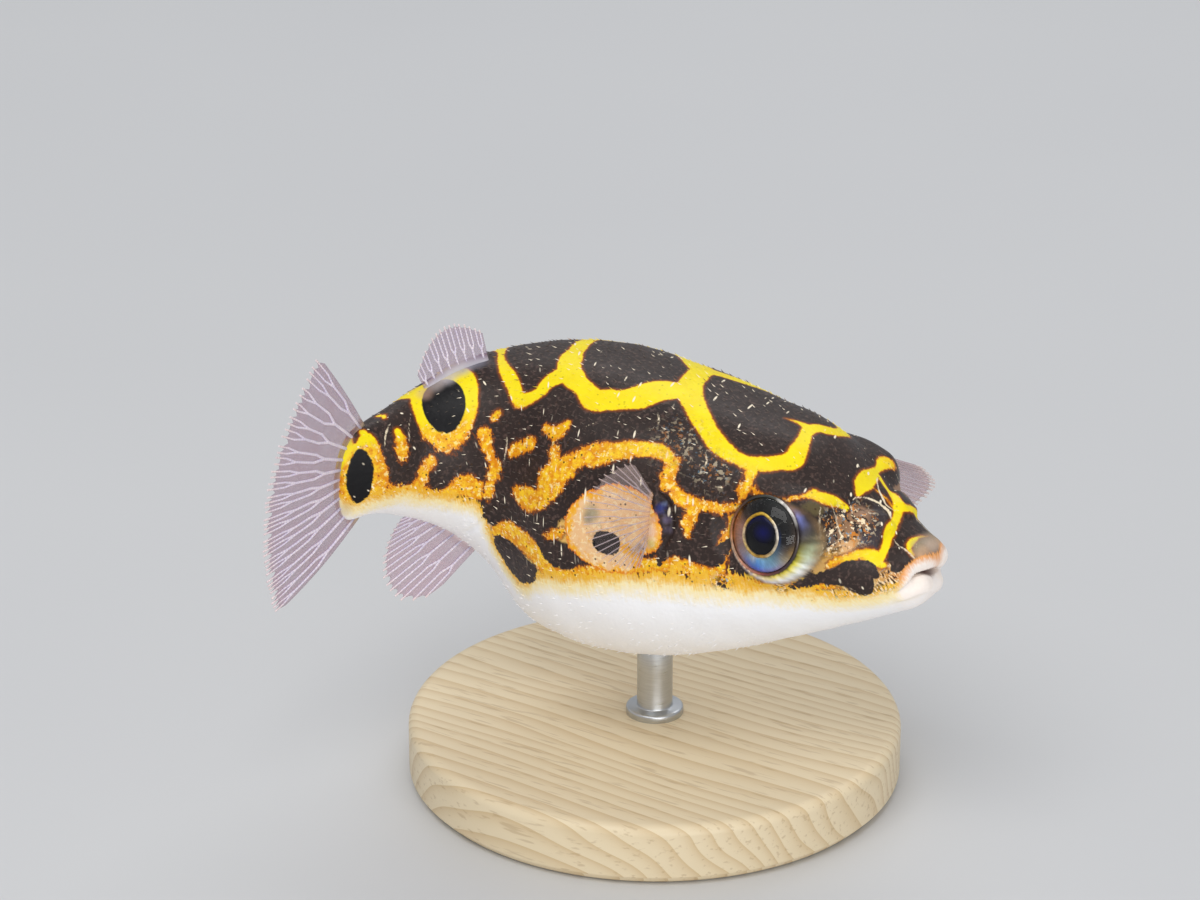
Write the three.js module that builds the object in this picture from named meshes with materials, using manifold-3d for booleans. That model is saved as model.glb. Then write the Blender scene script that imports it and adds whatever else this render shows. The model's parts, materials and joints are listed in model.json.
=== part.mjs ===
// Figure-eight puffer, a small freshwater pufferfish, as a still display model on a stand.
// Millimetres, Z up.  The fish looks along +X, its left side is +Y, its tail curls to its right.
// The stand stands on z = 0 and its rod rises on the Z axis.

import * as THREE from 'three';
import { mergeVertices } from 'three/addons/utils/BufferGeometryUtils.js';
import Module from 'manifold-3d';

const kernel = await Module();
kernel.setup();
const { Manifold, Mesh } = kernel;

// ---------- driving sizes ----------

const BODY_LENGTH = 49;         // lip to the end of the fleshy tail root, along the back
const PIN = 23;                 // the place along the body that sits over the stand
const FISH_HEIGHT = 22.3;       // height of the body's axis there
const NOSE_DOWN = 3;            // degrees
const TAIL_TURN = 80;           // degrees the tail curls to the fish's right
const TAIL_RISE = 2.5;          // degrees the tail lifts
const CURL_FROM = 23;           // where the curl starts and ends, along the body
const CURL_TO = 47;
const LIP_ROUND = 1.5;          // how far the front of the muzzle rounds over
const GAP = 0.3;                // clearance between neighbouring pieces
const CUT_LIPS = 1.8;           // where the pieces part, along the body
const CUT_HEAD = 16.6;
const CUT_TAIL = 36.4;
const BELLY_TOP = -4.2;         // level at which the white belly parts from the trunk
const MOUTH_LEVEL = -0.1;
const MOUTH_OPEN = 0.55;
const FIN_THICK = 0.55;
const BROW = { x: 7.1, angle: 51, height: 1.6, ahead: 1.25, behind: 1.75, round: 15.4 };
const EYE = { x: 10.2, angle: 70, radius: 2.85, depth: 1.9, sunk: 0.55, tilt: 15, back: 5 };
const ROD = { radius: 1.3, bottom: 1.8, top: 11.6 };
const BASE = { radius: 18, height: 4.5, bevel: 0.7 };

// Sections of the body: place from the lip, top, underside, level of greatest width,
// half width, fullness of the back, fullness of the belly (2 is a plain ellipse).
const SECTIONS = [
  [0, 1.9, -2.3, -0.1, 2.4, 2.2, 2.2],
  [2, 2.55, -3.1, -0.3, 3.1, 2.2, 2.2],
  [5, 4.3, -4.7, -0.4, 4.6, 2.2, 2.2],
  [10, 7.6, -7.3, -0.9, 6.8, 2.4, 2.2],
  [16, 8.6, -10.2, -1.9, 8.3, 2.4, 2.2],
  [22, 9.2, -12.2, -1.9, 9.4, 2.3, 2.1],
  [28, 9.5, -12.55, -1.6, 9.2, 2.2, 2.1],
  [33, 8.75, -10.9, -1.1, 7.8, 2.1, 2.1],
  [36, 8.05, -7.45, -0.55, 6.5, 2.0, 2.1],
  [38, 7.5, -5.75, -0.2, 5.6, 1.9, 2.1],
  [43, 5.6, -3.3, 0.3, 3.3, 1.8, 2.0],
  [46, 4.8, -2.35, 0.5, 2.2, 2.0, 2.0],
  [49, 4.5, -2.6, 0.5, 0.6, 2.0, 2.0],
];

// ---------- small mathematics ----------

const deg = Math.PI / 180;
const clamp = (v, lo, hi) => Math.min(hi, Math.max(lo, v));
const ease = (t) => t * t * (3 - 2 * t);

// A smooth curve through the rows of a table whose first column is the place.
function through(table, x) {
  const n = table.length;
  const at = clamp(x, table[0][0], table[n - 1][0]);
  let i = 0;
  while (i < n - 2 && at >= table[i + 1][0]) {
    i += 1;
  }
  const width = (k) => table[k + 1][0] - table[k][0];
  const rate = (k, c) => (table[k + 1][c] - table[k][c]) / width(k);
  const slope = (k, c) => {
    if (k === 0) {
      return rate(0, c);
    }
    if (k === n - 1) {
      return rate(n - 2, c);
    }
    return (rate(k - 1, c) * width(k) + rate(k, c) * width(k - 1)) / (width(k) + width(k - 1));
  };
  const w = width(i);
  const u = (at - table[i][0]) / w;
  const h = [2 * u ** 3 - 3 * u ** 2 + 1, u ** 3 - 2 * u ** 2 + u, 3 * u ** 2 - 2 * u ** 3, u ** 3 - u ** 2];
  const out = [];
  for (let c = 1; c < table[0].length; c += 1) {
    out.push(h[0] * table[i][c] + h[1] * w * slope(i, c) + h[2] * table[i + 1][c] + h[3] * w * slope(i + 1, c));
  }
  return out;
}

// ---------- the body's bent axis ----------

const AXIS_STEPS = 490;

function heading(x) {
  const g = ease(clamp((x - CURL_FROM) / (CURL_TO - CURL_FROM), 0, 1));
  return { yaw: TAIL_TURN * g * deg, droop: -TAIL_RISE * g * deg };
}

const axisPoints = [new THREE.Vector3()];
for (let i = 0; i < AXIS_STEPS; i += 1) {
  const step = BODY_LENGTH / AXIS_STEPS;
  const h = heading((i + 0.5) * step);
  const back = new THREE.Vector3(
    -Math.cos(h.yaw) * Math.cos(h.droop),
    -Math.sin(h.yaw) * Math.cos(h.droop),
    -Math.sin(h.droop),
  );
  axisPoints.push(axisPoints[i].clone().addScaledVector(back, step));
}
const pinPoint = axisPoints[Math.round((PIN / BODY_LENGTH) * AXIS_STEPS)].clone();

const poseTurn = new THREE.Matrix4().makeRotationY(NOSE_DOWN * deg);

// A place in the body: x along it, y to the left, z up; past the ends the axis runs on straight.
function bodyPoint(x, y, z) {
  const t = clamp(x, 0, BODY_LENGTH);
  const f = (t / BODY_LENGTH) * AXIS_STEPS;
  const i = Math.min(AXIS_STEPS - 1, Math.floor(f));
  const p = axisPoints[i].clone().lerp(axisPoints[i + 1], f - i).sub(pinPoint);
  const h = heading(t);
  const forward = new THREE.Vector3(
    Math.cos(h.yaw) * Math.cos(h.droop),
    Math.sin(h.yaw) * Math.cos(h.droop),
    Math.sin(h.droop),
  );
  const left = new THREE.Vector3(-Math.sin(h.yaw), Math.cos(h.yaw), 0);
  const up = forward.clone().cross(left);
  p.addScaledVector(forward, t - x).addScaledVector(left, y).addScaledVector(up, z);
  p.applyMatrix4(poseTurn);
  p.z += FISH_HEIGHT;
  return p;
}

// The ridge over each eye, which squares the head.
function browLift(x, angle) {
  const along = (x - BROW.x) / (x < BROW.x ? BROW.ahead : BROW.behind);
  const turn = Math.abs(((angle + 540) % 360) - 180);
  const around = (turn - BROW.angle) / BROW.round;
  return BROW.height * Math.exp(-along * along - around * around);
}

// The skin: angle 0 is the middle of the back, 90 the right side, 180 the belly, -90 the left side.
function skinPoint(x, angle, clear = 0) {
  const [top, bottom, middle, wide, back, keel] = through(SECTIONS, x);
  const out = clear + browLift(x, angle);
  const c = Math.cos(angle * deg);
  const s = Math.sin(angle * deg);
  const power = 2 / (c > 0 ? back : keel);
  const high = (c > 0 ? top - middle : middle - bottom) + out;
  const y = -Math.sign(s) * Math.abs(s) ** power * (wide + out);
  const z = Math.sign(c) * Math.abs(c) ** power * high + middle;
  return bodyPoint(x, y, z);
}

// Forward, left and up at a place along the body.
function bodyFrame(x) {
  const o = bodyPoint(x, 0, 0);
  const left = bodyPoint(x, 1, 0).sub(o);
  const up = bodyPoint(x, 0, 1).sub(o);
  return { forward: left.clone().cross(up), left, up };
}

// ---------- solids ----------

// A closed geometry from points and triangles, turned so that its faces look outwards.
function closedGeometry(points, faces) {
  let volume = 0;
  for (let i = 0; i < faces.length; i += 3) {
    volume += points[faces[i]].dot(points[faces[i + 1]].clone().cross(points[faces[i + 2]]));
  }
  const geometry = new THREE.BufferGeometry().setFromPoints(points);
  geometry.setIndex(volume > 0 ? faces : faces.slice().reverse());
  return geometry;
}

function solidOf(geometry) {
  geometry.deleteAttribute('normal');
  geometry.deleteAttribute('uv');
  const merged = mergeVertices(geometry, 1e-4);
  return new Manifold(new Mesh({
    numProp: 3,
    vertProperties: Float32Array.from(merged.attributes.position.array),
    triVerts: Uint32Array.from(merged.index.array),
  }));
}

// Closed solid through rings of points; the first and last ring are closed by a middle point.
function ringSolid(rings) {
  const n = rings[0].length;
  const points = rings.flat();
  const faces = [];
  const middle = (ring) => ring.reduce((a, p) => a.add(p), new THREE.Vector3()).divideScalar(n);
  for (let i = 0; i < rings.length - 1; i += 1) {
    for (let j = 0; j < n; j += 1) {
      const k = (j + 1) % n;
      faces.push(i * n + j, (i + 1) * n + j, (i + 1) * n + k);
      faces.push(i * n + j, (i + 1) * n + k, i * n + k);
    }
  }
  const first = points.length;
  points.push(middle(rings[0]), middle(rings[rings.length - 1]));
  const last = (rings.length - 1) * n;
  for (let j = 0; j < n; j += 1) {
    const k = (j + 1) % n;
    faces.push(first, j, k);
    faces.push(first + 1, last + k, last + j);
  }
  return solidOf(closedGeometry(points, faces));
}

// The whole body, or the body grown all round by a clearance.
const RING = 36;
const RING_STEP = 1.3;

function bodySolid(grown = 0) {
  const places = [0, 0.12, 0.35, 0.7, 1.1, LIP_ROUND];
  for (let x = 2.2; x < BODY_LENGTH - 0.6; x += RING_STEP) {
    places.push(x);
  }
  places.push(BODY_LENGTH);
  const rings = places.map((x) => {
    const rest = Math.max(0, LIP_ROUND - x);
    const rounding = Math.sqrt(LIP_ROUND ** 2 - rest ** 2) - LIP_ROUND;
    const pushed = x === 0 ? -grown : x === BODY_LENGTH ? BODY_LENGTH + grown : x;
    const shift = bodyPoint(pushed, 0, 0).sub(bodyPoint(x, 0, 0));
    const ring = [];
    for (let j = 0; j < RING; j += 1) {
      ring.push(skinPoint(x, (j * 360) / RING, rounding + grown).add(shift));
    }
    return ring;
  });
  return ringSolid(rings);
}

// What is left of a solid in front of, or behind, a cut across the body.
function inFrontOf(solid, x) {
  const { forward } = bodyFrame(x);
  return solid.trimByPlane(forward.toArray(), forward.dot(bodyPoint(x, 0, 0)));
}

function behind(solid, x) {
  const { forward } = bodyFrame(x);
  return solid.trimByPlane(forward.clone().negate().toArray(), -forward.dot(bodyPoint(x, 0, 0)));
}

// A flattened ball that looks straight out to the side and a little up, proud of the cheek in front.
const yAxis = new THREE.Vector3(0, 1, 0);

function eyeball(side, grown) {
  const { forward, left, up } = bodyFrame(EYE.x);
  const level = Math.cos(EYE.tilt * deg);
  const out = left.multiplyScalar(-side * level * Math.cos(EYE.back * deg));
  out.addScaledVector(forward, -level * Math.sin(EYE.back * deg));
  out.addScaledVector(up, Math.sin(EYE.tilt * deg));
  const at = skinPoint(EYE.x, side * EYE.angle).addScaledVector(out, -EYE.sunk);
  const ball = new THREE.SphereGeometry(1, 24, 10);
  ball.scale(EYE.radius + grown, EYE.depth + grown, EYE.radius + grown);
  ball.applyQuaternion(new THREE.Quaternion().setFromUnitVectors(yAxis, out));
  ball.translate(at.x, at.y, at.z);
  return solidOf(ball);
}

// ---------- fins ----------

// A fin is a fan of rays from a root line.  angle and length each hold the first ray's, the last ray's,
// and how far the middle ray stands off the straight run between them.  A lean below 1 moves the
// longest ray towards the first.
function finSheet({ root, angle, length, lean = 1, frame, bend = 0 }) {
  const run = ([first, last, bow], s, hump) => first + (last - first) * s + bow * hump;
  return (s, r) => {
    const turn = run(angle, s, Math.sin(Math.PI * s)) * deg;
    const reach = run(length, s, Math.sin(Math.PI * s ** lean)) * r;
    const p = root(s).clone();
    p.addScaledVector(frame.back, Math.cos(turn) * reach);
    p.addScaledVector(frame.rise, Math.sin(turn) * reach);
    p.addScaledVector(frame.side, bend * reach * reach);
    return p;
  };
}

function finSolid(sheet, across, outward) {
  const faceUp = [];
  const faceDown = [];
  const d = 0.01;
  for (let i = 0; i <= across; i += 1) {
    for (let j = 0; j <= outward; j += 1) {
      const s = i / across;
      const r = j / outward;
      const ds = sheet(Math.min(1, s + d), r).sub(sheet(Math.max(0, s - d), r));
      const dr = sheet(s, Math.min(1, r + d)).sub(sheet(s, Math.max(0, r - d)));
      const n = ds.cross(dr).normalize();
      faceUp.push(sheet(s, r).addScaledVector(n, FIN_THICK / 2));
      faceDown.push(sheet(s, r).addScaledVector(n, -FIN_THICK / 2));
    }
  }
  const points = faceUp.concat(faceDown);
  const faces = [];
  const other = faceUp.length;
  const at = (i, j) => i * (outward + 1) + j;
  const quad = (a, b, c, e) => faces.push(a, b, c, a, c, e);
  for (let i = 0; i < across; i += 1) {
    for (let j = 0; j < outward; j += 1) {
      quad(at(i, j), at(i + 1, j), at(i + 1, j + 1), at(i, j + 1));
      quad(other + at(i, j), other + at(i, j + 1), other + at(i + 1, j + 1), other + at(i + 1, j));
    }
    quad(at(i, 0), other + at(i, 0), other + at(i + 1, 0), at(i + 1, 0));
    quad(at(i + 1, outward), other + at(i + 1, outward), other + at(i, outward), at(i, outward));
  }
  for (let j = 0; j < outward; j += 1) {
    quad(at(0, j + 1), other + at(0, j + 1), other + at(0, j), at(0, j));
    quad(at(across, j), other + at(across, j), other + at(across, j + 1), at(across, j + 1));
  }
  return solidOf(closedGeometry(points, faces));
}

const turned = (v, axis, angle) => v.clone().applyAxisAngle(axis, angle * deg);

// Tail fin: stands on the tail root, lifted a little and curling on round with the tail.
const tailFrame = bodyFrame(47);
const tailBack = turned(turned(tailFrame.forward.clone().negate(), tailFrame.left, 13), tailFrame.up, 14);
const tailUp = turned(tailFrame.up, tailFrame.left, 13);
const caudalSheet = finSheet({
  root: (s) => bodyPoint(46.8 + 1.9 * Math.sin(Math.PI * s), 0, -2.4 + 7 * s),
  angle: [-46, 38, -6],
  length: [9.5, 8.5, -0.8],
  frame: { back: tailBack, rise: tailUp, side: tailUp.clone().cross(tailBack).normalize() },
  bend: -0.014,
});

// Back fin: short, set far back, its rays leaning backwards.
const dorsalFrame = bodyFrame(38.5);
const dorsalSheet = finSheet({
  root: (s) => skinPoint(36.3 + 4.9 * s, 0, -0.3),
  angle: [74, 62, 2],
  length: [2.5, 1.5, 1.8],
  frame: { back: dorsalFrame.forward.clone().negate(), rise: dorsalFrame.up, side: dorsalFrame.left },
});

// Anal fin: under the tail, folded back.
const analFrame = bodyFrame(39.5);
const analSheet = finSheet({
  root: (s) => skinPoint(36.2 + 5.3 * s, 180, -0.4),
  angle: [-44, -14, 0],
  length: [4, 1, 3.5],
  lean: 0.6,
  frame: { back: analFrame.forward.clone().negate(), rise: analFrame.up, side: analFrame.left },
});

// Right side fin: folded back over the flank, standing a little off it.
const chest = bodyFrame(18);
const rightSheet = finSheet({
  root: (s) => skinPoint(18 + 0.2 * s, 80 - 18 * s, 0.66),
  angle: [-80, 55, -5],
  length: [1.8, 2.6, 2.4],
  frame: {
    back: turned(chest.forward.clone().negate(), chest.up, 22),
    rise: turned(chest.up, chest.forward, -2),
    side: chest.left.clone().negate(),
  },
});

// Left side fin: swept forward and outward, like an oar at the end of its stroke.
const leftSheet = finSheet({
  root: (s) => skinPoint(16.9 + 0.2 * s, -79 + 17 * s, 0),
  angle: [-26, -18, 3],
  length: [9.5, 10.5, 1.5],
  frame: { back: turned(chest.left, chest.up, -50), rise: chest.up, side: chest.forward },
});

// ---------- stand ----------

function standBase() {
  const { radius, height, bevel } = BASE;
  const hole = ROD.radius + GAP;
  const outline = [
    [0, 0],
    [radius - 0.3, 0],
    [radius, 0.3],
    [radius, height - bevel],
    [radius - bevel * 0.3, height - bevel * 0.3],
    [radius - bevel, height],
    [hole, height],
    [hole, ROD.bottom - GAP],
    [0, ROD.bottom - GAP],
  ];
  const base = new THREE.LatheGeometry(outline.map(([r, z]) => new THREE.Vector2(r, z)), 64);
  return solidOf(base.rotateX(90 * deg));
}

function rodSolid(radius, from, to) {
  const rod = new THREE.CylinderGeometry(radius, radius, to - from, 24);
  return solidOf(rod.rotateX(90 * deg).translate(0, 0, (from + to) / 2));
}

// ---------- parting the body ----------

const whole = bodySolid();
const grownBody = bodySolid(GAP);
const sockets = eyeball(1, GAP).add(eyeball(-1, GAP));
const half = GAP / 2;

const muzzle = inFrontOf(whole, CUT_LIPS - half);
const muzzleUp = bodyFrame(0).up;
const slitLevel = muzzleUp.dot(bodyPoint(0, 0, MOUTH_LEVEL));
const upperLip = muzzle.trimByPlane(muzzleUp.toArray(), slitLevel + MOUTH_OPEN / 2);
const lowerLip = muzzle.trimByPlane(muzzleUp.clone().negate().toArray(), -slitLevel + MOUTH_OPEN / 2);
const headPiece = inFrontOf(behind(whole, CUT_LIPS + half), CUT_HEAD - half).subtract(sockets);
const middlePiece = inFrontOf(behind(whole, CUT_HEAD + half), CUT_TAIL - half);
const tailPiece = behind(whole, CUT_TAIL + half);
const bellyLevel = FISH_HEIGHT + BELLY_TOP;
const trunkPiece = middlePiece.trimByPlane([0, 0, 1], bellyLevel + half);
const rodHole = rodSolid(ROD.radius + GAP, 0, ROD.top + GAP);
const bellyPiece = middlePiece.trimByPlane([0, 0, -1], -(bellyLevel - half)).subtract(rodHole);

// ---------- meshes ----------

const group = new THREE.Group();
group.name = 'figure_eight_puffer';

function add(name, solid, color, roughness = 0.6, metalness = 0) {
  const mesh = solid.getMesh();
  const geometry = new THREE.BufferGeometry();
  const position = new Float32Array(mesh.numVert * 3);
  for (let i = 0; i < mesh.numVert; i += 1) {
    for (let c = 0; c < 3; c += 1) {
      position[i * 3 + c] = mesh.vertProperties[i * mesh.numProp + c];
    }
  }
  geometry.setAttribute('position', new THREE.BufferAttribute(position, 3));
  geometry.setIndex(new THREE.BufferAttribute(new Uint32Array(mesh.triVerts), 1));
  geometry.computeVertexNormals();
  const material = new THREE.MeshStandardMaterial({ color, roughness, metalness });
  material.name = name;
  const part = new THREE.Mesh(geometry, material);
  part.name = name;
  group.add(part);
}

add('head', headPiece, 0x8a6a1e);
add('trunk', trunkPiece, 0x6e5420);
add('belly', bellyPiece, 0xe6e2d8);
add('tail', tailPiece, 0x9a7a24);
add('upper_lip', upperLip, 0xe8c8b0);
add('lower_lip', lowerLip, 0xeed8c8);
add('eye_right', eyeball(1, 0), 0x101418, 0.15);
add('eye_left', eyeball(-1, 0), 0x101418, 0.15);
add('dorsal_fin', finSolid(dorsalSheet, 12, 4).subtract(grownBody), 0xb8a8c0, 0.5);
add('anal_fin', finSolid(analSheet, 12, 5).subtract(grownBody), 0xb8a8c0, 0.5);
add('caudal_fin', finSolid(caudalSheet, 20, 7).subtract(grownBody), 0xb8a8c0, 0.5);
add('pectoral_fin_right', finSolid(rightSheet, 14, 5).subtract(grownBody), 0xb8a8c0, 0.5);
add('pectoral_fin_left', finSolid(leftSheet, 12, 6).subtract(grownBody), 0xb8a8c0, 0.5);
add('stand_base', standBase(), 0xdcc8a4, 0.5);
add('stand_rod', rodSolid(ROD.radius, ROD.bottom, ROD.top), 0xb8bcc0, 0.3, 1);

export default group;
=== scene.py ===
# %% [markdown]
# # A figure-eight puffer, life size, on a stand
# The real fish is a small freshwater pufferfish, 49 mm from lip to tail root, and this is the kind of
# painted model that a museum puts on a rod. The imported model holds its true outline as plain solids.
# It is loaded first and never moved: each finished piece below is made in the same frame, in metres.

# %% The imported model
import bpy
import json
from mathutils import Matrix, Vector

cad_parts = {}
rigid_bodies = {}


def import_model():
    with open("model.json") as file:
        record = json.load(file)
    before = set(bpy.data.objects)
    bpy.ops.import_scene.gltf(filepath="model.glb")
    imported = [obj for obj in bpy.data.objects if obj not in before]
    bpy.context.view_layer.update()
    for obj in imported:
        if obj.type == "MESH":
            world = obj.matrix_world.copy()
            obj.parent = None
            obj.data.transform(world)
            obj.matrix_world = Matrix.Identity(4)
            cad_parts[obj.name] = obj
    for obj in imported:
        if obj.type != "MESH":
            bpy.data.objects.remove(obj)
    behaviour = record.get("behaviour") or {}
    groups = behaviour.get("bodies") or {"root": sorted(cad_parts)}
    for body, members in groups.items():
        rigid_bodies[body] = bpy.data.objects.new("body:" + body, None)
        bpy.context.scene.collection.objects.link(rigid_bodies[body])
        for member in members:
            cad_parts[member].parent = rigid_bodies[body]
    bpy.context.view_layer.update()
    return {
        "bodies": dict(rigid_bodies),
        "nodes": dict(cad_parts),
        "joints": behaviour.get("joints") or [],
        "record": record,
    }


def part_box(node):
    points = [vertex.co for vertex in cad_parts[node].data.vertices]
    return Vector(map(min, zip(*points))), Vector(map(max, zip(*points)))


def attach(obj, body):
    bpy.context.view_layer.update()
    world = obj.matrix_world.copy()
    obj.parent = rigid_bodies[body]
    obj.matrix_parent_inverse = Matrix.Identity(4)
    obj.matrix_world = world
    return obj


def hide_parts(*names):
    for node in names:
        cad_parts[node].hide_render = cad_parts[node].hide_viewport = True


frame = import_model()

import json
import math

import bpy
import numpy as np
from mathutils import Vector

scene = bpy.context.scene

# %% [markdown]
# ## Camera
# The fish is seen from its right, from a little ahead of it and above. A long lens from 28 cm keeps
# the perspective of a close portrait without stretching the snout.

# %% Camera
MM = 0.001
AZIMUTH, ELEVATION, DISTANCE = 32.5, 23.0, 280 * MM
LOOK_AT = Vector((0, 0, 22.3 * MM))
SENSOR, LENS = 36, 117.6               # both in mm, as on a real camera
MOVED_LEFT, MOVED_UP = 4.0 * MM, 2.714 * MM


def direction(azimuth, elevation):
    """Unit vector from the object towards a viewer; azimuth 0 stands at -Y, 90 at +X."""
    a, e = math.radians(azimuth), math.radians(elevation)
    return Vector((math.sin(a) * math.cos(e), -math.cos(a) * math.cos(e), math.sin(e)))


to_viewer = direction(AZIMUTH, ELEVATION)
viewer_right = Vector((math.cos(math.radians(AZIMUTH)), math.sin(math.radians(AZIMUTH)), 0))
viewer_up = to_viewer.cross(viewer_right)

camera = bpy.data.objects.new("camera", bpy.data.cameras.new("camera"))
scene.collection.objects.link(camera)
camera.data.sensor_width = SENSOR
camera.data.lens = LENS
camera.data.clip_start = 0.01
camera.location = LOOK_AT + to_viewer * DISTANCE - viewer_right * MOVED_LEFT + viewer_up * MOVED_UP
camera.rotation_euler = (-to_viewer).to_track_quat("-Z", "Y").to_euler()
scene.camera = camera
print("camera stands", round((camera.location - LOOK_AT).length * 1000), "mm from the fish")

# %% [markdown]
# ## Light
# Three large soft lamps and a pale world, as in a small product studio: a key from above the viewer's
# left, a low fill from the right that reaches the belly, and a long lamp behind that draws the
# outline of the back. Their powers are set so that a matt card renders about as its colour is written.

# %% Lamps and world
scene.view_settings.view_transform = "Standard"


def soft_lamp(name, azimuth, elevation, distance, width, height, watts, colour):
    """A rectangular area lamp that faces the fish."""
    data = bpy.data.lights.new(name, "AREA")
    data.shape = "RECTANGLE"
    data.size, data.size_y = width, height
    data.energy = watts
    data.color = colour
    lamp = bpy.data.objects.new(name, data)
    lamp.location = LOOK_AT + direction(azimuth, elevation) * distance
    lamp.rotation_euler = (LOOK_AT - lamp.location).to_track_quat("-Z", "Y").to_euler()
    scene.collection.objects.link(lamp)
    return lamp


soft_lamp("key", 5, 58, 0.42, 0.30, 0.22, 0.68, (1.0, 0.985, 0.96))
soft_lamp("fill", 48, 8, 0.50, 0.40, 0.16, 0.88, (1.0, 0.995, 0.985))
soft_lamp("back", 200, 50, 0.45, 0.40, 0.12, 0.5, (1.0, 1.0, 1.0))

world = bpy.data.worlds.new("studio")
scene.world = world
world.use_nodes = True
world.node_tree.nodes["Background"].inputs["Color"].default_value = (0.94, 0.96, 1.0, 1)
world.node_tree.nodes["Background"].inputs["Strength"].default_value = 0.52

# %% [markdown]
# ## Helpers for materials
# Colours are written as a painter reads them from a chart, 0 to 255, and turned linear here. A node
# is made and wired in one line, so that each finish further down reads as a recipe.

# %% Material helpers
def paint(r, g, b, a=1.0):
    """A chart colour as linear RGBA."""
    line = [c / 255 / 12.92 if c <= 10 else ((c / 255 + 0.055) / 1.055) ** 2.4 for c in (r, g, b)]
    return (*line, a)


def node(tree, kind, wires=None, **settings):
    """Makes a node; wires maps an input's name or number to a value or to another node's output."""
    made = tree.nodes.new(kind)
    for key, value in settings.items():
        setattr(made, key, value)
    for key, value in (wires or {}).items():
        if isinstance(value, bpy.types.NodeSocket):
            tree.links.new(value, made.inputs[key])
        else:
            made.inputs[key].default_value = value
    return made


def calc(tree, operation, a, b=0.0, c=0.0, clamp=False):
    """One arithmetic step on values, in a shader tree or a Geometry Nodes tree."""
    return node(tree, "ShaderNodeMath", {0: a, 1: b, 2: c}, operation=operation, use_clamp=clamp).outputs[0]


def blend(tree, share, a, b, how="MIX"):
    """Colour a turned into colour b by a share from 0 to 1."""
    mix = node(tree, "ShaderNodeMix", {0: share, 6: a, 7: b}, data_type="RGBA", blend_type=how)
    mix.clamp_factor = True
    return mix.outputs[2]


def step(tree, value, low, high, start=0.0, end=1.0):
    """A smooth step of a value from low to high."""
    wires = {"Value": value, "From Min": low, "From Max": high, "To Min": start, "To Max": end}
    return node(tree, "ShaderNodeMapRange", wires, interpolation_type="SMOOTHSTEP").outputs[0]


def field(tree, name, output="Fac"):
    """Reads a named attribute of the mesh."""
    return node(tree, "ShaderNodeAttribute", attribute_name=name).outputs[output]


def noise(tree, where, scale, detail=2.0, rough=0.5, output="Fac"):
    """Cloudy noise, about 0.5 on average; scale is in waves per metre."""
    wires = {"Vector": where, "Scale": scale, "Detail": detail, "Roughness": rough}
    return node(tree, "ShaderNodeTexNoise", wires).outputs[output]


def cells(tree, where, scale, feature="F1", **more):
    """Cell pattern: a node, so that both its distance and its colour can be used."""
    return node(tree, "ShaderNodeTexVoronoi", {"Vector": where, "Scale": scale, **more}, feature=feature)


def vector_step(tree, operation, a, b):
    """One step on vectors; for SCALE, b is the factor."""
    second = "Scale" if operation == "SCALE" else 1
    return node(tree, "ShaderNodeVectorMath", {0: a, second: b}, operation=operation).outputs[0]


def named(tree, name, kind="FLOAT"):
    """Reads a named attribute in a Geometry Nodes tree."""
    read_it = node(tree, "GeometryNodeInputNamedAttribute", {"Name": name}, data_type=kind)
    return read_it.outputs["Attribute"]


def stretched(tree, vector, factors):
    """A vector whose three parts are each multiplied by a factor."""
    return vector_step(tree, "MULTIPLY", vector, factors)


def bump(tree, shader, height, strength, depth):
    """Small relief on a finish; depth is in mm."""
    relief = node(tree, "ShaderNodeBump", {"Strength": strength, "Distance": depth * MM, "Height": height})
    tree.links.new(relief.outputs["Normal"], shader.inputs["Normal"])


def object_place(tree):
    return node(tree, "ShaderNodeTexCoord").outputs["Object"]


def new_material(name, **principled):
    """A material with its Principled shader ready; plain numbers go on the shader's own sockets."""
    made = bpy.data.materials.new(name)
    made.use_nodes = True
    shader = made.node_tree.nodes["Principled BSDF"]
    for key, value in principled.items():
        shader.inputs[key.replace("_", " ")].default_value = value
    return made, made.node_tree, shader


def wire(tree, source, target):
    tree.links.new(source, target)


print("helpers ready; chart grey 188 is linear", round(paint(188, 188, 188)[0], 3))

# %% [markdown]
# ## Floor
# A plain pale sheet under everything. It isn't part of the model.

# %% Floor
floor_mesh = bpy.data.meshes.new("floor")
FLOOR_HALF, FLOOR_LEVEL = 3.0, -0.05 * MM
corners = [(a * FLOOR_HALF, b * FLOOR_HALF, FLOOR_LEVEL) for a, b in ((-1, -1), (1, -1), (1, 1), (-1, 1))]
floor_mesh.from_pydata(corners, [], [(0, 1, 2, 3)])
floor = bpy.data.objects.new("floor", floor_mesh)
scene.collection.objects.link(floor)
card, tree, shader = new_material("floor_card", Roughness=0.75)
spot = object_place(tree)
wire(tree, blend(tree, noise(tree, spot, 14), paint(202, 203, 205), paint(208, 209, 210)),
     shader.inputs["Base Color"])
floor.data.materials.append(card)

# %% [markdown]
# ## The body's rule
# A puffer is a blunt tube, round in front and narrow behind, whose axis here bends round to the
# right. One rule gives any place on it: how far from the lip, and the angle round it, with 0 on
# the back, 90 on the right side and 180 under the belly. The skin, the fins' roots and every
# marking are placed by that rule, so they can't drift apart. All lengths in it are millimetres.

# %% The body's rule
BODY_LENGTH = 49.0
PIN = 23.0
FISH_HEIGHT = 22.3
NOSE_DOWN = math.radians(3)
TAIL_TURN = math.radians(80)
TAIL_RISE = math.radians(2.5)
CURL_FROM, CURL_TO = 23.0, 47.0
AXIS_STEPS = 490
LIP_ROUND = 1.5
BROW_X, BROW_ANGLE, BROW_HEIGHT = 7.1, 51, 1.6
BROW_AHEAD, BROW_BEHIND, BROW_ROUND = 1.25, 1.75, 15.4

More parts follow.
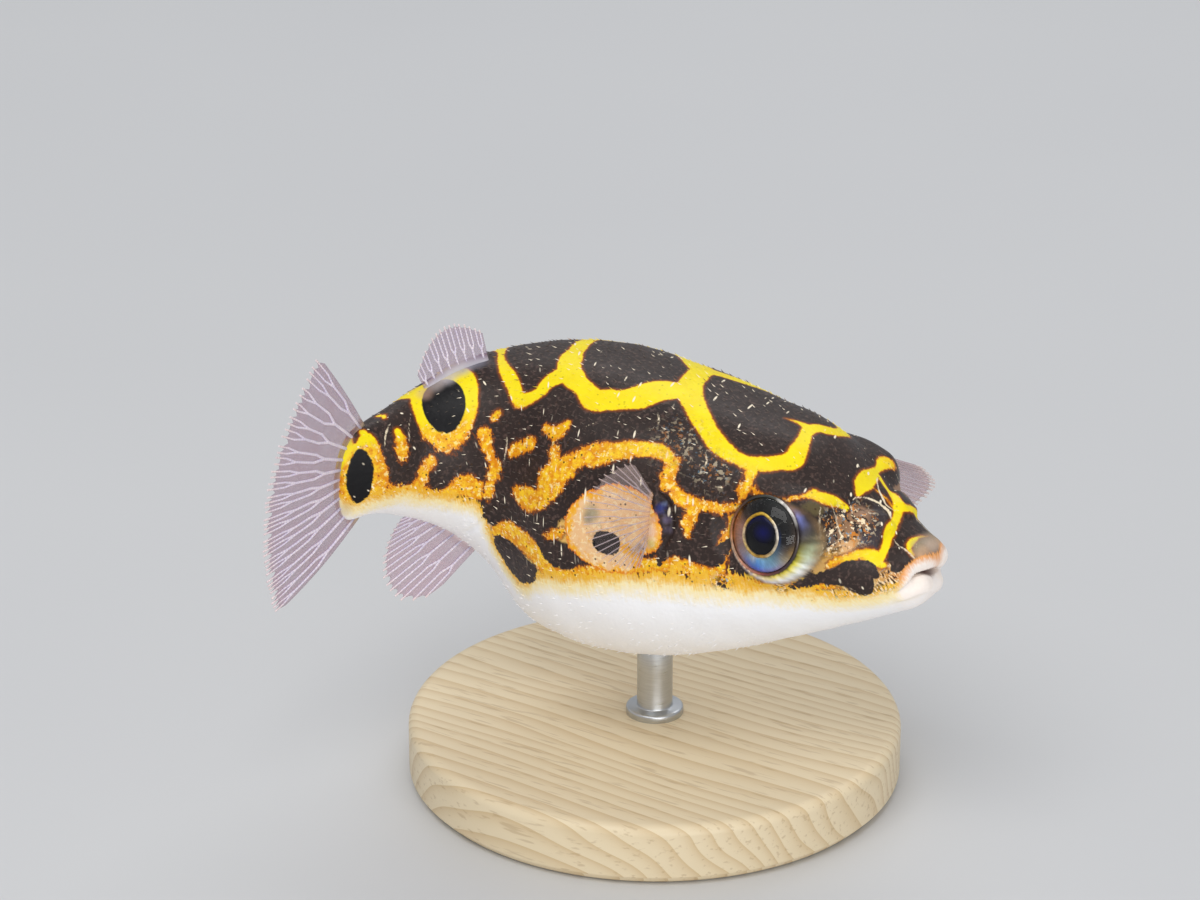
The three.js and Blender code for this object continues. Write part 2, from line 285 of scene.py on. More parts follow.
# place from the lip, top, underside, level of greatest width, half width, fullness of back and belly
SECTIONS = np.array([
    (0, 1.9, -2.3, -0.1, 2.4, 2.2, 2.2),
    (2, 2.55, -3.1, -0.3, 3.1, 2.2, 2.2),
    (5, 4.3, -4.7, -0.4, 4.6, 2.2, 2.2),
    (10, 7.6, -7.3, -0.9, 6.8, 2.4, 2.2),
    (16, 8.6, -10.2, -1.9, 8.3, 2.4, 2.2),
    (22, 9.2, -12.2, -1.9, 9.4, 2.3, 2.1),
    (28, 9.5, -12.55, -1.6, 9.2, 2.2, 2.1),
    (33, 8.75, -10.9, -1.1, 7.8, 2.1, 2.1),
    (36, 8.05, -7.45, -0.55, 6.5, 2.0, 2.1),
    (38, 7.5, -5.75, -0.2, 5.6, 1.9, 2.1),
    (43, 5.6, -3.3, 0.3, 3.3, 1.8, 2.0),
    (46, 4.8, -2.35, 0.5, 2.2, 2.0, 2.0),
    (49, 4.5, -2.6, 0.5, 0.6, 2.0, 2.0),
])


def ease(t):
    t = np.clip(t, 0, 1)
    return t * t * (3 - 2 * t)


def through(table, place):
    """A smooth curve through the rows of a table whose first column is the place."""
    t = np.asarray(table, float)
    at = np.clip(np.asarray(place, float), t[0, 0], t[-1, 0])
    width = np.diff(t[:, 0])
    rate = np.diff(t[:, 1:], axis=0) / width[:, None]
    inner = (rate[:-1] * width[1:, None] + rate[1:] * width[:-1, None]) / (width[1:] + width[:-1])[:, None]
    slope = np.vstack([rate[:1], inner, rate[-1:]])
    i = np.clip(np.searchsorted(t[:, 0], at, side="right") - 1, 0, len(t) - 2)
    w = width[i][..., None]
    u = ((at - t[i, 0]) / width[i])[..., None]
    start = (2 * u**3 - 3 * u**2 + 1) * t[i, 1:] + (u**3 - 2 * u**2 + u) * w * slope[i]
    end = (3 * u**2 - 2 * u**3) * t[i + 1, 1:] + (u**3 - u**2) * w * slope[i + 1]
    return start + end


def heading(x):
    g = ease((x - CURL_FROM) / (CURL_TO - CURL_FROM))
    return TAIL_TURN * g, -TAIL_RISE * g


def forward_at(x):
    yaw, droop = heading(x)
    return np.stack([np.cos(yaw) * np.cos(droop), np.sin(yaw) * np.cos(droop), np.sin(droop) + 0 * yaw], -1)


def left_at(x):
    yaw, _ = heading(x)
    return np.stack([-np.sin(yaw), np.cos(yaw), 0 * yaw], -1)


step_length = BODY_LENGTH / AXIS_STEPS
mid_steps = (np.arange(AXIS_STEPS) + 0.5) * step_length
AXIS = np.vstack([[0, 0, 0], np.cumsum(-forward_at(mid_steps) * step_length, 0)])
AXIS = AXIS - AXIS[round(PIN / BODY_LENGTH * AXIS_STEPS)]


def posed(v):
    """Turns a vector nose down, as the fish is held."""
    c, s = math.cos(NOSE_DOWN), math.sin(NOSE_DOWN)
    return np.stack([v[..., 0] * c + v[..., 2] * s, v[..., 1], v[..., 2] * c - v[..., 0] * s], -1)


def body_point(x, y, z):
    """A place in the body in mm: x along it from the lip, y to the left, z up."""
    x, y, z = np.broadcast_arrays(np.asarray(x, float), y, z)
    t = np.clip(x, 0, BODY_LENGTH)
    f = t / step_length
    i = np.minimum(AXIS_STEPS - 1, np.floor(f).astype(int))
    on_axis = AXIS[i] + (AXIS[i + 1] - AXIS[i]) * (f - i)[..., None]
    forward, left = forward_at(t), left_at(t)
    up = np.cross(forward, left)
    p = on_axis + forward * (t - x)[..., None] + left * y[..., None] + up * z[..., None]
    return posed(p) + [0, 0, FISH_HEIGHT]


def brow_lift(x, angle):
    """The ridge over each eye, which squares the head."""
    along = (x - BROW_X) / np.where(x < BROW_X, BROW_AHEAD, BROW_BEHIND)
    around = (np.abs((angle + 180) % 360 - 180) - BROW_ANGLE) / BROW_ROUND
    return BROW_HEIGHT * np.exp(-along**2 - around**2)


def section(x, angle, out=0.0):
    """Sideways and upward place of the skin, seen along the body."""
    out = out + brow_lift(x, angle)
    top, bottom, middle, wide, back, keel = np.moveaxis(through(SECTIONS, x), -1, 0)
    c, s = np.cos(np.radians(angle)), np.sin(np.radians(angle))
    power = 2 / np.where(c > 0, back, keel)
    high = np.where(c > 0, top - middle, middle - bottom) + out
    return -np.sign(s) * np.abs(s) ** power * (wide + out), np.sign(c) * np.abs(c) ** power * high + middle


def skin_point(x, angle, out=0.0):
    x, angle = np.broadcast_arrays(np.asarray(x, float), np.asarray(angle, float))
    return body_point(x, *section(x, angle, out))


def body_frame(x):
    """Forward, left and up at a place along the body."""
    forward, left = posed(forward_at(np.float64(x))), posed(left_at(np.float64(x)))
    return forward, left, np.cross(forward, left)


trunk_box = np.array([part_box("trunk")[0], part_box("trunk")[1]]) / MM
rule_top = skin_point(np.linspace(17, 36, 60), 0)[:, 2].max()
print("top of the trunk, packed and by the rule:", round(trunk_box[1, 2], 2), round(rule_top, 2))

# %% [markdown]
# ## Drawing on the body
# Markings and small relief are drawn as a sign painter would: as strokes, each a few places on the
# body with half a width in mm. A stroke is smoothed, and every point of the skin learns how far
# inside or outside the nearest stroke it lies. The paint then follows that distance, so an edge stays
# sharp however near the camera comes, and can be made ragged by a little noise.

# %% Strokes
def smooth_stroke(rows, parts=4):
    """Places and half widths along a smooth line through (x, angle, half width) rows."""
    rows = np.array(rows, float)
    if len(rows) == 1:
        rows = np.vstack([rows, rows + [0.02, 0, 0]])
    index = np.arange(len(rows))
    at = np.linspace(0, len(rows) - 1, (len(rows) - 1) * parts + 1)
    line = through(np.column_stack([index, rows]), at) if len(rows) > 2 else \
        rows[0] + (rows[1] - rows[0]) * (at / at[-1])[:, None]
    return line[:, 0], line[:, 1], np.maximum(line[:, 2], 0.01)


def other_side(strokes, shift=0.0, swell=1.0):
    """The same strokes on the fish's left, a little varied as on a real animal."""
    return [[(x + shift, -a, w * swell) for x, a, w in rows] for rows in strokes]


def inside(points, ring_x, strokes, reach=1.6):
    """For each point of the skin: mm inside the nearest stroke, or less than 0 outside it."""
    found = np.full(points.shape[:2], -reach)
    for rows in strokes:
        x, a, w = smooth_stroke(rows)
        p = skin_point(x, a)
        for k in range(len(x) - 1):
            low, high = sorted((x[k], x[k + 1]))
            i = slice(*np.searchsorted(ring_x, (low - w[k] - reach * 1.6, high + w[k] + reach * 1.6)))
            ab = p[k + 1] - p[k]
            ap = points[i] - p[k]
            t = np.clip(ap @ ab / max(ab @ ab, 1e-9), 0, 1)
            away = np.linalg.norm(ap - t[..., None] * ab, axis=-1)
            found[i] = np.maximum(found[i], w[k] + (w[k + 1] - w[k]) * t - away)
    return found


def dabs(points, ring_x, spots):
    """Soft colour laid on in dabs: (x, angle, radius, chart colour, strength). Returns RGBA."""
    wash = np.zeros((*points.shape[:2], 4))
    for x, a, radius, colour, strength in spots:
        i = slice(*np.searchsorted(ring_x, (x - radius * 1.7, x + radius * 1.7)))
        away = np.linalg.norm(points[i] - skin_point(x, a), axis=-1)
        share = (ease(1.25 - away / radius) * strength)[..., None]
        under = wash[i]
        alpha = share + under[..., 3:] * (1 - share)
        mixed = np.array(paint(*colour)[:3]) * share + under[..., :3] * under[..., 3:] * (1 - share)
        wash[i, :, :3] = mixed / np.maximum(alpha, 1e-6)
        wash[i, :, 3:] = alpha
    return wash


def mask(points, ring_x, spots):
    """How strongly dabs of (x, angle, radius, strength) cover each point of the skin."""
    return dabs(points, ring_x,
                [(x, a, radius, (0, 0, 0), strength) for x, a, radius, strength in spots])[..., 3]


def laid_over(wash, colour, cover):
    """A wash with a colour laid over it, where cover runs from 0 to 1."""
    share = cover[..., None]
    mixed = wash[..., :3] * (1 - share) + colour * share
    return np.concatenate([mixed, np.maximum(wash[..., 3:], share)], -1)


print("stroke tools ready")

# %% [markdown]
# ## The skin's net
# The skin is one closed net of rings from the mouth to the tail root. Rings stand closer round the
# eyes and lips, where the form turns quickly, and the points of a ring stand closer on the flanks
# than under the plain belly. At both ends the rings close on a middle point.

# %% Rings of the skin
SKIN_DEPTH = 0.05
AROUND = 254
TAIL_END = 48.95
TAIL_SHARE = [0.92, 0.78, 0.58, 0.36, 0.15]    # how wide the closing rings of the tail root are
TAIL_BULGE = [0.06, 0.14, 0.2, 0.24, 0.26]     # and how far past its end they stand, in mm
BELLY_FROM, BELLY_CROWD = 118, 0.42            # under this angle the points stand further apart


def spaced(stops):
    """Places along the body, with a spacing in mm for each stretch: (until, spacing)."""
    places, at = [], LIP_ROUND
    for until, spacing in stops:
        count = max(1, round((until - at) / spacing))
        places += list(at + (until - at) * (np.arange(count) + 1) / count)
        at = until
    return np.array(places)


lip_turn = np.radians(np.linspace(90, 0, 17))
lip_x = LIP_ROUND * (1 - np.sin(lip_turn))
lip_out = LIP_ROUND * (np.cos(lip_turn) - 1)
body_x = spaced([(3.5, 0.10), (7.3, 0.115), (13.4, 0.102), (15, 0.13), (35, 0.17), (45, 0.15),
                 (48.9, 0.11)])
cap_share = np.array([0.12, 0.3, 0.48, 0.64, 0.78, 0.9])
ends = len(TAIL_SHARE)
ring_x = np.concatenate([0 * cap_share, lip_x, body_x, np.full(ends, TAIL_END)])
ring_out = np.concatenate([np.full(len(cap_share), lip_out[0]), lip_out, 0 * body_x,
                           np.zeros(ends)]) - SKIN_DEPTH
ring_share = np.concatenate([cap_share, np.ones(len(lip_x) + len(body_x)), TAIL_SHARE])
bulge = np.concatenate([np.zeros(len(ring_x) - ends), TAIL_BULGE])

turn = np.linspace(-180, 180, 7201)
crowd = np.where(np.abs(turn) < BELLY_FROM, 1.0, BELLY_CROWD)
crowd = np.convolve(np.pad(crowd, 300, mode="edge"), np.ones(601) / 601, mode="valid")
share = np.concatenate([[0], np.cumsum((crowd[1:] + crowd[:-1]) / 2)])
angles = np.interp(np.arange(AROUND) / AROUND, share / share[-1], turn)

X, A = np.meshgrid(ring_x, angles, indexing="ij")
side_y, up_z = section(X, A, ring_out[:, None])
middle = through(SECTIONS, ring_x)[:, 2][:, None]
tail_round = np.sqrt(1 - 0.55 * np.clip((ring_x - 47.0) / 1.95, 0, 1) ** 3)[:, None]
side_y = side_y * ring_share[:, None]
up_z = middle + (up_z - middle) * ring_share[:, None] * tail_round
print("skin:", len(ring_x), "rings of", AROUND, "points,", len(ring_x) * AROUND * 2, "triangles")

# %% [markdown]
# ## Mouth and lips
# A puffer's mouth is a short slit between two fleshy lips, and the upper lip hangs a little over the
# lower one. The muzzle's front is already closed and round, so the mouth is made by pressing: points
# close to the slit's level are pushed back into the head, and the flesh on both sides of it is
# swollen. The slit arches over the lower lip and turns down at the corners, as the real one does.

# %% Mouth
MOUTH_HALF_GAP = 0.07
MOUTH_CORNER = 2.5
SLIT_DEPTH, DIP_DEPTH = 0.9, 0.6      # of the slit and of the dip beside it, in mm
# sideways place and height of the slit, in mm
SLIT = [
    (-2.9, -0.6), (-2.8, -0.3), (-2.6, 0.1), (-2.4, 0.36), (-2.0, 0.58), (-1.5, 0.64), (-1.0, 0.56),
    (-0.5, 0.4), (0, 0.2), (0.5, 0.0), (1.1, -0.14), (1.7, -0.2), (2.4, -0.35), (2.9, -0.6),
]


def smoothly(value, low, high):
    return ease((value - low) / (high - low))


def net_normals(points):
    """Outward normals of the ring net."""
    along = np.gradient(points, axis=0)
    around = (np.roll(points, -1, 1) - np.roll(points, 1, 1)) / 2
    n = np.cross(along, around)
    return n / np.maximum(np.linalg.norm(n, axis=-1, keepdims=True), 1e-9)


plain = body_point(X, side_y, up_z)
outward = net_normals(plain)
if (outward[150] * (plain[150] - plain[150].mean(0))).sum() < 0:
    outward = -outward

slit = np.interp(side_y, [row[0] for row in SLIT], [row[1] for row in SLIT])
above = up_z - slit
near_front = 1 - smoothly(X, 0.6, 3.2)
in_mouth = (1 - smoothly(np.abs(side_y), MOUTH_CORNER - 0.5, MOUTH_CORNER + 0.2)) * (X < 2.2)
opening = MOUTH_HALF_GAP + 0.12 * np.exp(-(((side_y + 0.2) / 0.75) ** 2))
pressed = (1 - smoothly(np.abs(above), opening, opening + 0.16)) * in_mouth
valley = np.exp(-((above / np.where(above > 0, 0.55, 0.45)) ** 2)) * in_mouth
lip_band = smoothly(np.abs(above), 0.2, 0.7) * (1 - smoothly(np.abs(above), 1.0, 1.8))
lip_band = lip_band * (1 - smoothly(X, 0.8, 2.2))
lower = smoothly(above, 0.12, -0.12)
flat_x = X + lower * near_front * 0.28 - lip_band * np.where(above > 0, 0.0, 0.06)
flat_z = up_z + lip_band * np.where(above > 0, 0.1, -0.28)
skin = body_point(flat_x + bulge[:, None], side_y * (1 + 0.02 * lip_band), flat_z)
skin = skin - outward * (pressed * SLIT_DEPTH + valley * DIP_DEPTH)[..., None]
print("mouth: slit", round(2 * MOUTH_HALF_GAP, 2), "mm open,", round(2 * MOUTH_CORNER, 1), "mm wide")

# %% [markdown]
# ## Small relief
# The nose of a puffer is a low dome with a sharp front edge; the gill opening is a short curved slot
# just ahead of the side fin, with a raised flap; and the skin folds in two fine creases where
# the tail turns off the belly, on the inside of the curl only. Each is a stroke that lifts or
# presses the skin. Low swells all over keep the form from looking turned on a lathe.

# %% Relief
RELIEF = [  # strokes, height in mm, how far it fades
    ([[(3.95, 22, 0.5), (4.35, 31, 0.75), (4.5, 40, 0.65)]], 0.42, 0.7),
    ([[(3.45, 30, 0.1), (3.55, 20, 0.12), (3.9, 8, 0.12), (4.6, 3, 0.12)]], -0.1, 0.3),
    ([[(4.0, 12, 0.12), (4.6, 9, 0.14), (5.4, 13, 0.12)]], 0.07, 0.35),
    ([[(18.0, 62, 0.05), (17.5, 63.5, 0.09), (17.1, 66, 0.11), (16.85, 70, 0.12), (16.8, 74, 0.11),
       (17.0, 78, 0.09), (17.3, 81, 0.04)]], -0.3, 0.24),
    ([[(17.7, 60.5, 0.1), (17.1, 62.5, 0.15), (16.6, 66, 0.2), (16.3, 70, 0.22), (16.3, 74, 0.2),
       (16.5, 78, 0.12)]], 0.13, 0.5),
    ([[(18.1, 65, 0.3), (17.8, 72, 0.45), (17.9, 79, 0.3)]], 0.22, 0.5),
    ([[(1.75, 60, 0.02), (1.85, 80, 0.05), (2.05, 96, 0.05), (2.3, 108, 0.02)]], -0.05, 0.35),
]
CREASES = [
    ([[(36.9, 88, 0.02), (37.4, 100, 0.05), (38.0, 112, 0.06), (38.5, 126, 0.05), (38.8, 142, 0.02)]],
     -0.14, 0.3),
    ([[(40.6, 100, 0.02), (40.9, 112, 0.04), (41.1, 126, 0.02)]], -0.06, 0.3),
]
lift = np.zeros(X.shape)
for strokes, height, fade in RELIEF:
    lift += height * smoothly(inside(plain, ring_x, strokes + other_side(strokes)), -fade, 0.02)
for strokes, height, fade in CREASES:
    lift += height * smoothly(inside(plain, ring_x, strokes), -fade, 0.02)
wander = np.random.default_rng(8)
SWELLS, SWELL_HEIGHT = 26, 0.006
for _ in range(SWELLS):
    wave = wander.normal(size=3) * wander.uniform(0.4, 1.2)
    swell = SWELL_HEIGHT * np.sin(plain @ wave + wander.uniform(0, 6.28))
    lift += swell * smoothly(X, 2, 6) * (1 - smoothly(X, 45, 49))
skin = skin + outward * lift[..., None]
print("relief from", round(float(lift.min()), 2), "to", round(float(lift.max()), 2), "mm")

# %% [markdown]
# ## Eye sockets
# A puffer's eye is a ball that looks straight out to the side. The head narrows forward, so the
# ball's rear edge lies flush in the head and its front edge stands proud of the cheek, where the
# socket's wall slopes down as a shining crescent. In the plane of the eye a chart gives, for each
# direction round it, how far that wall reaches; the skin is levelled to the rim there and a pit is
# pressed in the middle for the eyeball. Direction 0 is forward, 90 up.

# %% Sockets
EYE_X, EYE_ANGLE = 10.2, 70.0
EYE_TILT, EYE_BACK = math.radians(15), math.radians(5)
EYE_PROUD = 0.35
EYE_RADIUS = 2.7
RIM_DEPTH, PIT_DEPTH = 0.14, 1.6       # how far the rim and the pit lie under the eye's plane, in mm
# direction and reach of the wall in mm
WALL_WIDTH = [
    (-180, 0.25), (-150, 0.25), (-120, 0.3), (-96, 0.42), (-79, 0.7), (-63, 0.8), (-43, 0.85), (-25, 0.9),
    (-7, 1.0), (10, 1.15), (25, 1.2), (42, 0.9), (60, 0.45), (90, 0.2), (150, 0.2), (180, 0.25),
]


def eye_frame(side):
    """Centre and forward, up, outward directions of the right (+1) or left (-1) eye."""
    forward, left, up = body_frame(EYE_X)
    level = left * side * math.cos(EYE_BACK) + forward * math.sin(EYE_BACK)
    out = up * math.sin(EYE_TILT) - level * math.cos(EYE_TILT)
    centre = skin_point(EYE_X, side * EYE_ANGLE) + out * EYE_PROUD
    ahead = forward - out * (out @ forward)
    ahead /= np.linalg.norm(ahead)
    eye_up = np.cross(out, ahead) * side
    return centre, ahead, eye_up * np.sign(eye_up[2]), out


def polar(points, place):
    """Height over the eye's plane, distance from its axis and direction in degrees."""
    centre, forward, up, out = place
    q = points - centre
    f, u = q @ forward, q @ up
    return q @ out, np.hypot(f, u), np.degrees(np.arctan2(u, f))


EYES = {side: eye_frame(side) for side in (1, -1)}
socket = np.full(X.shape, 9.0)        # 0 at the eyeball's edge, 1 at the outer edge of the wall
compass = np.zeros(X.shape)
at_eye = np.zeros(X.shape, bool)
for side, place in EYES.items():
    height, away, way = polar(plain, place)
    near = (np.abs(height) < 5) & (away < 7)
    width = through(np.array(WALL_WIDTH), way)[..., 0]
    part = (away - EYE_RADIUS) / width
    slope = np.maximum(width * 1.15, 1.3)
    levelled = 1 - smoothly(away, EYE_RADIUS + 0.05, EYE_RADIUS + slope)
    height_now, _, _ = polar(skin, place)
    change = (-RIM_DEPTH - height_now) * levelled
    pit = smoothly(EYE_RADIUS - away, 0.02, 0.2)
    change = change * (1 - pit) + (-PIT_DEPTH - height_now) * pit
    skin = np.where(near[..., None], skin + place[3] * change[..., None], skin)
    socket = np.where(near, part, socket)
    compass = np.where(near, way, compass)
    at_eye |= near
print("eye centres in mm:", [np.round(p[0], 2).tolist() for p in EYES.values()])

# %% [markdown]
# ## Markings
# The fish wears a net of yellow over dark brown: vivid yellow on the back, ochre and more broken on
# the flanks, with two ringed black spots on each side of the tail. Each mark is a stroke of
# (place from the lip, angle, half width in mm). Strokes near the middle of the back serve both
# sides; those of the right flank are repeated on the left, all but one, with small shifts.

# %% Yellow marks
BACK_YELLOW = [
    [(3.1, 62, 0.3), (3.1, 52, 0.32), (3.1, 41, 0.36), (3.3, 30, 0.42), (3.4, 20, 0.44), (3.45, 11, 0.38),
     (3.65, 1, 0.36), (4.0, -8, 0.42), (4.6, -14, 0.32), (5.4, -19, 0.27), (6.4, -22, 0.27)],
    [(5.7, -4, 0.1), (5.4, -5, 0.12), (4.8, -6, 0.1), (4.3, -6, 0.1)],
    [(3.9, -9, 0.28), (3.65, -22, 0.32), (3.4, -36, 0.32), (3.1, -50, 0.3), (2.9, -62, 0.3)],
    [(6.1, 13, 0.2), (6.35, 5, 0.55), (6.45, -3, 0.72), (6.55, -12, 0.6), (6.75, -22, 0.32),
     (6.9, -30, 0.3), (7.0, -37, 0.55), (6.7, -43, 0.5)],
    [(1.3, 36, 0.12), (1.75, 30, 0.2), (1.9, 22, 0.24), (1.9, 10, 0.22), (1.8, 0, 0.18), (1.6, -10, 0.14),
     (1.5, -22, 0.1)],
    [(6.1, 31, 0.25), (6.7, 33, 0.5), (7.3, 37, 0.62), (7.9, 40, 0.4), (8.6, 44, 0.14)],
    [(9.9, -25, 0.5), (9.9, -15, 0.5), (10.3, -8, 0.5), (11.0, -1.5, 0.5), (10.6, 8, 0.5),
     (10.4, 16, 0.65), (10.3, 24, 0.75), (11, 30, 0.6), (12.4, 36, 0.6), (13.8, 35.5, 0.5),
     (15.2, 32, 0.7), (16.5, 26, 0.7), (18, 18, 0.8), (19, 12, 0.85), (20, 6, 1.0), (20.5, 0, 0.9),
     (20.9, -9, 0.8), (21.2, -14, 0.7)],
    [(11.0, -1.5, 0.45), (11.8, -1, 0.3), (12.9, 0, 0.05)],
    [(9.9, -25, 0.5), (10.6, -31, 0.7), (12.2, -36, 0.6), (14, -36, 0.55), (15.6, -31, 0.7),
     (17.2, -25, 0.75), (19, -18, 0.8), (21.2, -13, 0.8)],
    [(20.5, 8, 1.0), (21.6, 12.5, 1.2), (22.5, 20, 1.2), (23.4, 24.5, 0.95), (24.5, 27.5, 0.95),
     (25.5, 30, 0.95), (26.4, 28.5, 0.8), (27.5, 25.5, 0.7), (28.6, 22.5, 0.85), (29.6, 16, 0.9),
     (29.9, 8, 0.85), (29.85, 0, 0.65), (29.8, -10, 0.65), (29.7, -20, 0.6)],
    [(20.9, -10, 0.9), (22, -17, 1.1), (23, -23, 1.0), (24.2, -28, 0.9), (25.6, -30, 0.9),
     (27, -26, 0.75), (28.4, -23, 0.8), (29.7, -19, 0.7)],
    [(30.3, 22, 0.8), (31.2, 26, 0.6), (31.8, 31, 0.5), (32.6, 34, 0.5), (33.5, 36, 0.55),
     (34.3, 36, 0.55), (34.8, 28, 0.55), (35.2, 20, 0.55), (35.5, 10, 0.4), (35.5, 2, 0.32),
     (35.3, -8, 0.3), (35.2, -18, 0.5), (34.8, -28, 0.55), (34.2, -35, 0.5), (33, -36, 0.5),
     (31.7, -31, 0.5), (30.3, -22, 0.7)],
]
FLANK_YELLOW = [
    [(12.4, 36, 0.5), (12.4, 42, 0.45), (12.4, 48, 0.4), (12.6, 54, 0.3)],
    [(8.0, 36, 0.3), (8.5, 43, 0.14), (9.3, 48, 0.12), (10.3, 50, 0.1), (11.6, 50, 0.14),
     (12.3, 46, 0.3)],
    [(17.6, 45, 0.3), (17.9, 50, 0.5), (17.8, 57, 0.45)],
    [(18.2, 45, 0.5), (19.3, 43.5, 0.6), (21, 45.5, 0.6), (23, 51.5, 0.8), (25, 57, 0.7), (26.5, 64, 1.0),
     (27.5, 68, 1.1), (28.5, 75, 0.85), (30, 78.5, 0.7), (31.2, 79, 0.8), (32.5, 79.5, 0.85),
     (33.8, 80, 0.6)],
    [(27.9, 57, 0.4), (27.6, 60, 0.5), (27.2, 64, 0.6)],
    [(27.2, 44.5, 0.2), (28, 49, 0.55), (29, 49.5, 0.45), (30, 49, 0.35)],
    [(32.3, 57, 0.45), (33.4, 58.5, 0.5), (34.5, 61, 0.45), (35.2, 63, 0.35)],
    [(36.6, 43, 0.3), (37.0, 45, 0.35)],
    [(38.2, 54, 0.5), (38.0, 60, 0.4), (37.7, 67, 0.25), (37.2, 72, 0.4), (37.6, 80, 0.35),
     (37.9, 86, 0.4), (38.1, 91, 0.2)],
    [(12.8, 60, 0.4), (13.8, 62, 0.35), (15, 62, 0.4), (16, 62, 0.5), (16.8, 60, 0.45), (17.3, 56, 0.4)],
    [(12.9, 66, 0.4), (13.0, 74, 0.4), (13.1, 82, 0.4), (13, 88, 0.4)],
    [(15.6, 64, 0.5), (15.7, 70, 0.45), (15.6, 75, 0.3)],
    [(2.8, 64, 0.25), (3.3, 66, 0.2), (4.2, 64, 0.22), (5.2, 69, 0.28), (6.0, 77, 0.22)],
    [(5.2, 93, 0.12), (6.2, 91.5, 0.28), (7.4, 92, 0.36), (9, 92, 0.45), (11, 91, 0.5), (13, 89, 0.55),
     (15, 87, 0.6), (17, 87, 0.6), (19, 89, 0.6), (21, 92, 0.6), (23, 97, 0.7), (25, 101, 0.8),
     (27, 100, 0.9), (29, 97, 0.9), (31, 97, 0.9), (33, 98.5, 0.9), (34.5, 101, 0.9), (35.8, 106, 0.75),
     (36.6, 113, 0.5)],
    [(25, 84, 0.3), (26, 86, 0.35), (27, 88, 0.3)],
    [(44.9, 35, 0.3), (44.9, 45, 0.38), (45.0, 55, 0.5), (45.0, 63, 0.35)],
    [(45.1, 3, 0.2), (45.2, 7, 0.16)],
    [(42.8, 68, 0.35), (43.2, 73, 0.5), (43.6, 80, 0.4), (43.6, 86, 0.4), (43.9, 90, 0.4)],
    [(39.0, 92, 0.4), (39.6, 88, 0.8), (40.2, 87, 0.8), (40.9, 93, 0.6), (41.6, 99, 0.5),
     (42.6, 105, 0.4), (43.6, 98, 0.5), (44.2, 95, 0.3), (45, 97, 0.3), (46, 96, 0.4)],
    [(39.9, 4, 1.7), (40.3, 16, 2.4), (40.7, 28, 2.35), (41.0, 40, 2.0), (41.3, 50, 1.4)],
    [(48, 40, 0.3), (47.3, 32, 0.45), (46.95, 45, 0.4), (46.8, 60, 0.4), (46.6, 75, 0.45),
     (46.7, 88, 0.5), (46.9, 100, 0.6), (47.3, 110, 0.6)],
    [(47.4, 20, 0.3), (47.3, 32, 0.4)],
    [(47.6, 60, 0.9), (47.6, 80, 0.9), (47.7, 100, 0.9)],
    [(48.7, 26, 0.5), (48.9, 50, 0.6), (48.9, 85, 0.6), (48.8, 112, 0.5)],
    [(3.3, 63, 0.3), (3.5, 58.5, 0.48), (4.2, 60, 0.45), (4.6, 64, 0.4), (4.9, 67, 0.3)],
    [(48.3, 42, 0.3), (48.3, 52, 0.35), (48.6, 64, 0.3)],
]
left_yellow = other_side(FLANK_YELLOW[:1] + FLANK_YELLOW[2:], 0.15, 1.05)
yellow = inside(plain, ring_x, BACK_YELLOW + FLANK_YELLOW + left_yellow)
print("yellow marks:", len(BACK_YELLOW + FLANK_YELLOW + left_yellow), "strokes,",
      round(float((yellow > 0).mean()) * 100), "% of the points")

# %% [markdown]
# Black spots, the dark blotches of the cheek, thin cream lines, and soft washes of other colours go
# on after the yellow. The belly is white below a line that is its own rule along the body.

# %% Dark marks, lines and washes
BLACK = [
    [(40.35, 13, 0.7), (40.5, 19, 1.3), (40.8, 28, 1.55), (41.1, 38, 1.1), (41.3, 44, 0.5)],
    [(48.0, 54, 0.45), (48.0, 63, 0.8), (48.05, 75, 0.98), (48.05, 88, 0.92), (48.1, 100, 0.62),
     (48.1, 107, 0.35)],
    [(21.1, 83.5, 0.84), (21.55, 83.8, 0.84)],
]
PEACH = [
    [(23.1, 80, 1.7), (21.6, 75.5, 2.3), (20.3, 73.5, 2.3), (19.4, 75.5, 2.0), (18.8, 78, 1.45)],
    [(23.4, 86, 1.1), (21.6, 87.5, 1.3), (19.7, 87.5, 1.0)],
]
BROWN = [
    [(13.4, 90, 0.1), (12.9, 91, 0.16), (12.4, 92.5, 0.1)],
    [(6.9, 86.5, 0.2), (6.1, 86.5, 0.45), (5.2, 86.5, 0.5), (4.5, 89, 0.55), (3.95, 93, 0.5),
     (3.7, 96.5, 0.3)],
    [(29.6, 103.5, 0.3), (31.0, 107, 0.8), (32.5, 110.5, 1.3), (34, 114, 1.45), (35.3, 117, 1.1),
     (36.0, 118, 0.5)],
    [(23.6, 91.5, 0.3), (24.6, 94, 0.6), (26, 95, 0.5), (27.5, 93, 0.4), (28.6, 91.5, 0.3)],
    [(3.2, 78, 0.3), (3.7, 74, 0.62), (4.2, 79, 0.85), (3.8, 87, 0.72), (3.5, 94, 0.35)],
    [(4.1, 71, 0.35), (4.8, 77, 0.55), (5.5, 83, 0.5), (6.4, 87, 0.4), (7.4, 90, 0.25), (8.2, 91.5, 0.1)],
    [(2.7, 43, 0.2), (2.35, 44, 0.55), (2.0, 50, 0.6), (2.0, 60, 0.45), (2.2, 66, 0.2)],
    [(17.4, 87, 0.25), (17.0, 82, 0.4), (16.6, 78, 0.42), (16.9, 72, 0.12)],
    [(16.4, 78, 0.5), (15.2, 80.5, 0.7), (14.2, 81.5, 0.8), (13.4, 82, 0.6), (12.9, 76, 0.2)],
    [(18.3, 60.5, 0.15), (17.6, 61.5, 0.14), (17.1, 64, 0.1)],
    [(36.9, 98, 0.5), (37.4, 104, 0.7), (37.6, 109, 0.3)],
]
